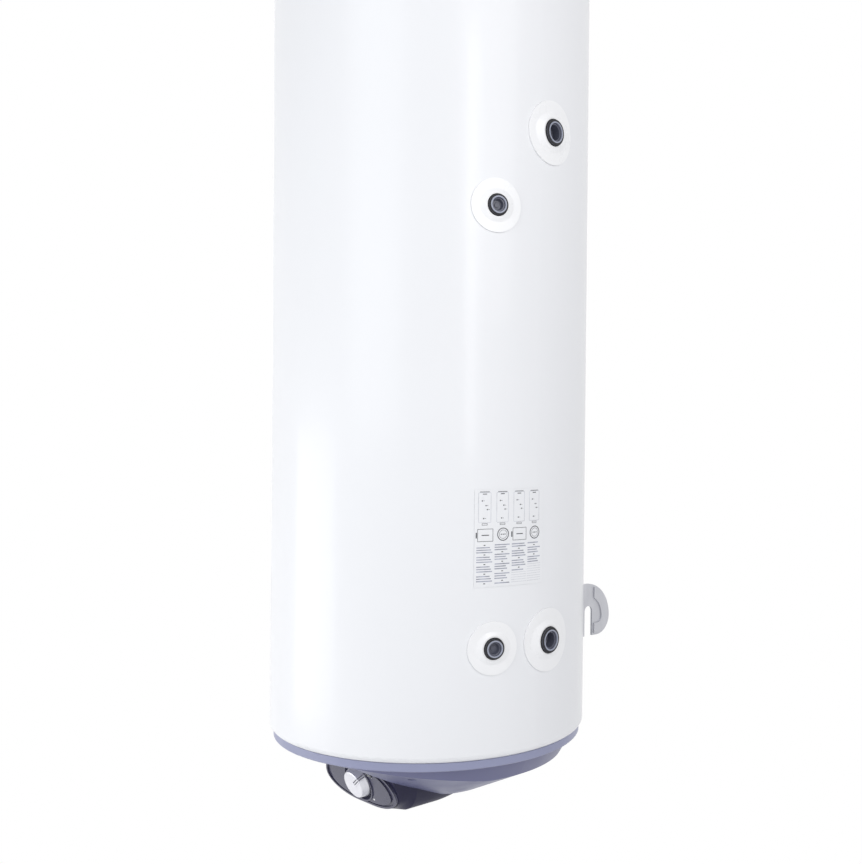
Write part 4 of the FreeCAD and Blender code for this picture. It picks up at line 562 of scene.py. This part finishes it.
# %% Water pipes with their threaded ends
PIPE_BORE, PIPE_CORE, PIPE_OUTSIDE, PIPE_CREST = 7.5, 9.4, 10.2, 10.48
PIPE_END, PIPE_SHOULDER, SHOULDER_RUN = -64, -38.2, 0.7
BORE_EDGE, CORE_EDGE, THREAD_INSET = 0.6, 0.4, 0.6
PIPE_BEHIND_AXIS = 125
PIPES = (("cold_inlet", 50, 90), ("hot_outlet", -50, 1130))
for name, across, top in PIPES:
    pipe = turned([(PIPE_BORE, PIPE_END + BORE_EDGE), (PIPE_BORE + BORE_EDGE, PIPE_END),
                   (PIPE_CORE - CORE_EDGE, PIPE_END), (PIPE_CORE, PIPE_END + CORE_EDGE),
                   (PIPE_CORE, PIPE_SHOULDER - SHOULDER_RUN), (PIPE_OUTSIDE, PIPE_SHOULDER),
                   (PIPE_OUTSIDE, top), (PIPE_BORE, top)])
    add_thread(pipe, PIPE_CORE, PIPE_CREST, PIPE_END + THREAD_INSET, PIPE_SHOULDER - THREAD_INSET)
    bmesh.ops.translate(pipe, verts=pipe.verts, vec=AXIS + Vector((across, PIPE_BEHIND_AXIS, 0)) * MM)
    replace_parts(make_piece(pipe, f"{name}_threaded_pipe", "heater", "bare_steel"), f"{name}_pipe")
print("threaded pipes:", len(PIPES))

# %% [markdown]
# ### The four side connections
# Two sockets lead to the coil and two pockets hold temperature sensors. They differ in size and in what lies
# behind the thread: the coil's tube, or a closed well. Each connection has a kind, the degrees that it stands
# round to the heater's right, and its height over the rim. Its parts are turned about Z and then laid down,
# so that their axis points out of the casing.

# %% Where the connections are, and how a turned part gets there
COIL = {"outside": 17.25, "mouth": 13.35, "root": 13.22, "crest": 12.06, "throat": 10, "shank": 13.05,
        "flange": 16.4}
SENSOR = {"outside": 13.75, "mouth": 10.6, "root": 10.48, "crest": 9.316, "throat": 3, "shank": 10.3,
          "flange": 13.0}
PORTS = (("upper_coil", COIL, 95, 797), ("upper_sensor", SENSOR, 72.3, 694),
         ("lower_sensor", SENSOR, 72.3, 141), ("lower_coil", COIL, 95, 142))
SOCKET_FACE = CASING_RADIUS + 1.5


def lay_at_port(bm, turn, height):
    """Lays a turned part down and moves it to its connection."""
    lay_down = Matrix.Rotation(math.radians(turn), 4, "Z") @ Matrix.Rotation(math.radians(90), 4, "X")
    bmesh.ops.transform(bm, matrix=Matrix.Translation(AXIS + Vector((0, 0, height)) * MM) @ lay_down,
                        verts=bm.verts)


for name, kind, turn, height in PORTS:
    print(name, "at", turn, "degrees,", height, "mm over the rim")

# %% Sockets and pockets, threaded inside
THREAD_LENGTH = 15
SOCKET_BACK = 192
SOCKET_EDGE, MOUTH_EDGE, THROAT_EDGE = 0.4, 0.5, 0.2
COIL_BORE = 11.05
WELL_BORE, WELL_OUTSIDE, WELL_FLOOR, WELL_END = 8, 9, 81, 80
for name, kind, turn, height in PORTS:
    outside, mouth, root, crest = kind["outside"], kind["mouth"], kind["root"], kind["crest"]
    throat = SOCKET_FACE - kind["throat"]
    stop = throat - THREAD_LENGTH
    if kind is COIL:
        node_name = f"{name}_socket"
        behind = [(COIL_BORE, stop), (COIL_BORE, SOCKET_BACK)]
    else:
        node_name = f"{name}_pocket"
        behind = [(WELL_BORE, stop), (WELL_BORE, WELL_FLOOR), (0, WELL_FLOOR), (0, WELL_END),
                  (WELL_OUTSIDE, WELL_END), (WELL_OUTSIDE, SOCKET_BACK)]
    socket = turned([(outside, SOCKET_BACK), (outside, SOCKET_FACE - SOCKET_EDGE),
                     (outside - SOCKET_EDGE, SOCKET_FACE), (mouth + MOUTH_EDGE, SOCKET_FACE),
                     (mouth, SOCKET_FACE - MOUTH_EDGE), (mouth, throat + THROAT_EDGE), (root, throat),
                     (root, stop)] + behind)
    add_thread(socket, root, crest, stop + 2 * THROAT_EDGE, throat - THROAT_EDGE)
    lay_at_port(socket, turn, height)
    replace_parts(make_piece(socket, f"{name}_threaded_socket", "heater", "bare_steel"), node_name)
print("threaded sockets:", len(PORTS))

# %% [markdown]
# A transport plug is more than a cup. Its flange ends in a narrow rim, a thin black lip lies on
# the flange's outer edge, and the cup narrows in a step to a floor with a small boss. The plug is one grey
# plastic, given as two copies: the cup's grey is darkened as painted shade inside the cup, and the rim's
# paler grey is a painted highlight along the flange's edge. The black lip is partly the black of the seal and
# partly painted shade of the gap round the flange. One turned part can have only one finish, so each plug is
# made of three, the cup, the rim and the lip. All ride on the body that is pulled out.

# %% The four transport plugs
SEAL_THICK, FLANGE_THICK, FLANGE_BASE, PLUG_WALL = 4.5, 2.2, 0.8, 1.4
PLUG_CHAMFER, PLUG_CLEAR = 3, 0.1
RIM_WIDTH, LIP_THICK, SOFT_EDGE = 2.0, 0.65, 0.35
BOSS_RADIUS, BOSS_TOP_RADIUS, BOSS_HEIGHT = 3.4, 3.0, 0.8
RING_GAP = 0.05
for name, kind, turn, height in PORTS:
    shank, flange = kind["shank"], kind["flange"]
    end = SOCKET_FACE - kind["throat"] + PLUG_CLEAR
    seat = SOCKET_FACE + SEAL_THICK
    base = seat + FLANGE_BASE
    face = seat + FLANGE_THICK
    cup, floor_level = shank - PLUG_WALL, end + PLUG_WALL
    rim = cup + RIM_WIDTH
    outer_side = [(0, end), (shank - PLUG_CHAMFER, end), (shank, end + PLUG_CHAMFER), (shank, seat),
                  (flange, seat), (flange, base), (cup + 0.1, base)]
    stepped_cup = [(cup - 0.5, face - 3.0), (cup - 1.7, face - 3.3), (cup - 2.5, floor_level + 0.7),
                   (cup - 3.2, floor_level)]
    boss = [(BOSS_RADIUS, floor_level), (BOSS_TOP_RADIUS, floor_level + BOSS_HEIGHT),
            (0, floor_level + BOSS_HEIGHT)]
    core = turned(outer_side + stepped_cup + boss)
    rim_foot = base + RING_GAP
    bright = turned([(cup + 0.15, rim_foot), (rim, rim_foot), (rim, face - SOFT_EDGE),
                     (rim - SOFT_EDGE, face), (cup + 0.55, face), (cup + 0.15, face - 0.4)])
    lip_top = rim_foot + LIP_THICK
    lip = turned([(rim + RING_GAP, rim_foot), (flange, rim_foot), (flange, lip_top - SOFT_EDGE),
                  (flange - SOFT_EDGE, lip_top), (rim + RING_GAP, lip_top)])
    for bm in (core, bright, lip):
        lay_at_port(bm, turn, height)
    body = f"{name}_plug"
    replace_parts(make_piece(core, f"{name}_plug_cup", body, "plug_grey"), body)
    # the rim's paler grey is a painted highlight on the flange's edge
    make_piece(bright, f"{name}_plug_rim_painted_highlight", body, "plug_grey", "plug_rim_painted_highlight")
    # the black lip is partly the seal's black and partly painted shade of the gap round the flange
    make_piece(lip, f"{name}_plug_lip", body, "seal_rubber")
print("plugs:", len(PORTS))

# %% [markdown]
# ### The printed sticker
# The sticker is drawn flat and then wrapped. Its picture is a generic one: four tanks with their connections
# as dots, a row of devices, and columns of grey rules that stand for small print. A picture file would give
# the print too, but drawn shapes stay sharp however near the eye comes. Flat shapes come from the create
# operators, and an inset turns a filled shape into an outline.

# %% Flat shapes
DISC_STEPS = 24
CORNER_STEPS = 5


def hollow_out(bm, face, line):
    """Leaves only a line of this width inside the face's rim."""
    bmesh.ops.inset_region(bm, faces=[face], thickness=line * MM, use_even_offset=True, use_boundary=True)
    bmesh.ops.delete(bm, geom=[face], context="FACES")


def add_panel(bm, across, up, width, height, corner=0.0, line=0.0):
    """A rectangle, with round corners or as an outline where asked, in millimetres on the flat sticker."""
    made = bmesh.ops.create_grid(bm, x_segments=1, y_segments=1, size=0.5)["verts"]
    bmesh.ops.scale(bm, verts=made, vec=(width * MM, height * MM, 1))
    bmesh.ops.translate(bm, verts=made, vec=(across * MM, up * MM, 0))
    face = made[0].link_faces[0]
    if corner:
        rounded = bmesh.ops.bevel(bm, geom=made, offset=corner * MM, offset_type="OFFSET",
                                  segments=CORNER_STEPS, profile=0.5, affect="VERTICES", material=-1)
        face = max(rounded["verts"][0].link_faces, key=lambda candidate: candidate.calc_area())
    if line:
        hollow_out(bm, face, line)


def add_disc(bm, across, up, radius, line=0.0):
    """A disc, or a ring where a line width is given."""
    made = bmesh.ops.create_circle(bm, cap_ends=True, segments=DISC_STEPS, radius=radius * MM)["verts"]
    bmesh.ops.translate(bm, verts=made, vec=(across * MM, up * MM, 0))
    if line:
        hollow_out(bm, made[0].link_faces[0], line)


# %% [markdown]
# The film follows the casing's curve. A long flat face can't bend, so the drawing is first cut into narrow
# strips. It is thickened while it is still flat, where every direction is simple, and bent last.

# %% Wrap the drawing round the casing
LABEL_TURN, LABEL_HEIGHT = math.radians(78.8), 279
LABEL_SURFACE = CASING_RADIUS + 0.65
LABEL_HALF_WIDTH = 51
STRIP = 3.0
INK_THICK, INK_SUNK = 0.05, 0.01
CUT_WITHIN = 1e-7


def wrap_on_casing(bm):
    """Cuts the flat drawing into strips, gives it a thickness and bends it round the casing."""
    reach = -LABEL_HALF_WIDTH
    while reach < LABEL_HALF_WIDTH:
        bmesh.ops.bisect_plane(bm, geom=bm.verts[:] + bm.edges[:] + bm.faces[:], dist=CUT_WITHIN,
                               plane_co=(reach * MM, 0, 0), plane_no=(1, 0, 0))
        reach += STRIP
    bmesh.ops.recalc_face_normals(bm, faces=bm.faces)
    bmesh.ops.solidify(bm, geom=bm.faces[:], thickness=-INK_THICK * MM)
    low = min(corner.co.z for corner in bm.verts)
    for corner in bm.verts:
        angle = LABEL_TURN + corner.co.x / (LABEL_SURFACE * MM)
        radius = (LABEL_SURFACE - INK_SUNK) * MM + corner.co.z - low
        corner.co = AXIS + Vector((radius * math.sin(angle), -radius * math.cos(angle),
                                   LABEL_HEIGHT * MM + corner.co.y))


# %% The connection diagram
FIRST_COLUMN, COLUMN_PITCH, COLUMN_COUNT = -37.5, 24.5, 4
COLUMNS = [FIRST_COLUMN + column * COLUMN_PITCH for column in range(COLUMN_COUNT)]
TANK_LEVEL, TANK_WIDTH, TANK_HEIGHT = 38.5, 17, 38
HEADING_UP, SUBHEADING_UP, NOTE_DOWN = 19.7, 16.9, 20.9
CONNECTIONS = ((-3.4, 8.5), (1.6, 2.5), (3.4, -2.5), (-1.4, -13.5))
ink = bmesh.new()
faint = bmesh.new()
for middle in COLUMNS:
    add_panel(faint, middle, TANK_LEVEL, TANK_WIDTH, TANK_HEIGHT, corner=1.5, line=0.45)
    add_panel(ink, middle, TANK_LEVEL + HEADING_UP, width=13, height=0.7)
    add_panel(ink, middle, TANK_LEVEL + SUBHEADING_UP, width=5.5, height=1.0)
    add_panel(ink, middle, TANK_LEVEL - NOTE_DOWN, width=7.5, height=2.4, line=0.5)
    for across, level in CONNECTIONS:
        add_disc(ink, middle + across, TANK_LEVEL + level, radius=0.85)
        add_panel(ink, middle + across + 2.2, TANK_LEVEL + level, width=1.8, height=0.45)
print("tanks on the sticker:", len(COLUMNS))

# %% The row of devices under the tanks
BOX_LEVEL, BOX_PLACES = 4, (-36.5, 12.5)
DIAL_LEVEL, DIAL_PLACES = 4.5, (-12, 37)
for middle in BOX_PLACES:
    add_panel(ink, middle, BOX_LEVEL, width=21, height=16, line=0.6)
    add_panel(ink, middle, BOX_LEVEL, width=10, height=1.1)
    add_panel(ink, middle - 11.9, BOX_LEVEL, width=1.6, height=7)
for middle in DIAL_PLACES:
    add_disc(ink, middle, DIAL_LEVEL, radius=8.3, line=1.1)
    add_disc(ink, middle, DIAL_LEVEL, radius=5.6, line=0.45)
    for across in (-2.6, 0, 2.6):
        add_disc(ink, middle + across, DIAL_LEVEL, radius=0.8)
print("devices on the sticker:", len(BOX_PLACES) + len(DIAL_PLACES))

# %% The small print
PRINT_TOP, PRINT_WIDTH = -8.5, 21.5
RULE_ROWS, RULE_PITCH = 17, 3.0
ROWS_WRITTEN = (17, 17, 12, 9)
SHORTEST_RULE, LONGER_BY = 0.75, 0.08
rules = bmesh.new()
for column, middle in enumerate(COLUMNS):
    for row in range(RULE_ROWS):
        level = PRINT_TOP - row * RULE_PITCH
        if row >= ROWS_WRITTEN[column]:
            add_panel(faint, middle, level, width=23, height=0.3)
        elif (row + column) % 4 == 0:
            add_panel(ink, middle, level, width=2.4, height=1.1)
        else:
            width = PRINT_WIDTH * (SHORTEST_RULE + LONGER_BY * ((row * 5 + column * 3) % 4))
            add_panel(rules, middle - PRINT_WIDTH / 2 + width / 2, level, width, height=1.35)
for bm, name, finish in ((ink, "diagram", "label_ink"), (rules, "print", "label_grey"),
                         (faint, "lines", "label_faint")):
    wrap_on_casing(bm)
    make_piece(bm, f"sticker_{name}", "heater", "label_film", finish)
print("rows of small print:", sum(ROWS_WRITTEN))

# %% [markdown]
# ### Small things
# The casing is one sheet rolled into a tube; its seam runs down the back, where nobody sees it. A flat bar
# with rounded edges is enough for it, and a thinner bar serves again for the knob further down.

# %% Seam at the back of the casing
SEAM_WIDTH, SEAM_THICK, SEAM_LENGTH = 9, 1.0, 1168
SEAM_MIDDLE = Vector((0, CASING_RADIUS + 0.2, 595))


def rounded_bar(length, thick, width, rounding):
    """A bar along X with rounded edges, in millimetres."""
    bm = bmesh.new()
    bmesh.ops.create_cube(bm, size=1)
    bmesh.ops.scale(bm, verts=bm.verts, vec=(length * MM, thick * MM, width * MM))
    bmesh.ops.bevel(bm, geom=bm.edges[:], offset=rounding * MM, segments=2, profile=0.5, affect="EDGES",
                    material=-1)
    return bm


seam = rounded_bar(SEAM_WIDTH, SEAM_THICK, SEAM_LENGTH, rounding=0.35)
bmesh.ops.translate(seam, verts=seam.verts, vec=AXIS + SEAM_MIDDLE * MM)
make_piece(seam, "casing_seam", "heater", "casing_enamel")
print("seam:", SEAM_LENGTH, "mm")

# %% [markdown]
# A small white dot on the fascia marks the end of the knob's range. It is a very flat cone, placed in the
# fascia's own coordinates, so that it leans with it.

# %% Dot beside the knob
DOT_RADIUS, DOT_TOP_RADIUS, DOT_THICK = 1.5, 1.1, 0.5
DOT_PLACE = Vector((25.2, -0.2, -21.8))
DOT_STEPS = 32
dot = bmesh.new()
bmesh.ops.create_cone(dot, cap_ends=True, segments=DOT_STEPS, radius1=DOT_RADIUS * MM,
                      radius2=DOT_TOP_RADIUS * MM, depth=DOT_THICK * MM)
bmesh.ops.transform(dot, verts=dot.verts, matrix=FASCIA_PLACE @ Matrix.Translation(DOT_PLACE * MM)
                    @ Matrix.Rotation(math.radians(90), 4, "X"))
make_piece(dot, "dial_dot", "heater", "white_plastic")
print("dot:", 2 * DOT_RADIUS, "mm across")

# %% [markdown]
# The knob's pointer is three ridges side by side, and each of the two gaps between them gets a dark line,
# which is painted shade where the gaps fall dark. The lines run over the slightly domed face and on down the
# knob's side, so each is two thin bars, one for either stretch. They ride on the knob and turn with it.

# %% Painted shade: dark lines in the gaps between the pointer's ridges
KNOB_STAND, KNOB_CROWN, KNOB_FACE, KNOB_RADIUS = 10, 0.6, 19, 23
POINTER_ANGLE = math.radians(37)
LINE_ASIDE, LINE_THICK, LINE_WIDTH = 1.6, 0.3, 1.2
LINE_INNER_END = 5
inner_stand = KNOB_STAND + KNOB_CROWN * (KNOB_FACE - LINE_INNER_END) / KNOB_FACE
STRETCHES = (("face", (LINE_INNER_END, inner_stand), (KNOB_FACE - 0.6, KNOB_STAND + 0.02)),
             ("side", (KNOB_FACE + 0.2, KNOB_STAND - 0.5), (KNOB_RADIUS - 0.3, 0.8)))
for side, aside in (("upper", LINE_ASIDE), ("lower", -LINE_ASIDE)):
    for stretch, start, end in STRETCHES:
        run = Vector((end[0] - start[0], start[1] - end[1]))
        middle = Vector(((start[0] + end[0]) / 2, -(start[1] + end[1]) / 2, aside)) * MM
        line = rounded_bar(run.length, LINE_THICK, LINE_WIDTH, rounding=0.08)
        bmesh.ops.transform(line, verts=line.verts, matrix=FASCIA_PLACE
                            @ Matrix.Rotation(-POINTER_ANGLE, 4, "Y") @ Matrix.Translation(middle)
                            @ Matrix.Rotation(math.atan2(run.y, run.x), 4, "Z"))
        # each bar is painted shade in a gap between two of the pointer's ridges
        make_piece(line, f"pointer_{stretch}_line_{side}", "knob", "dark_plastic", "pointer_grey")
print("pointer lines:", 2 * len(STRETCHES))
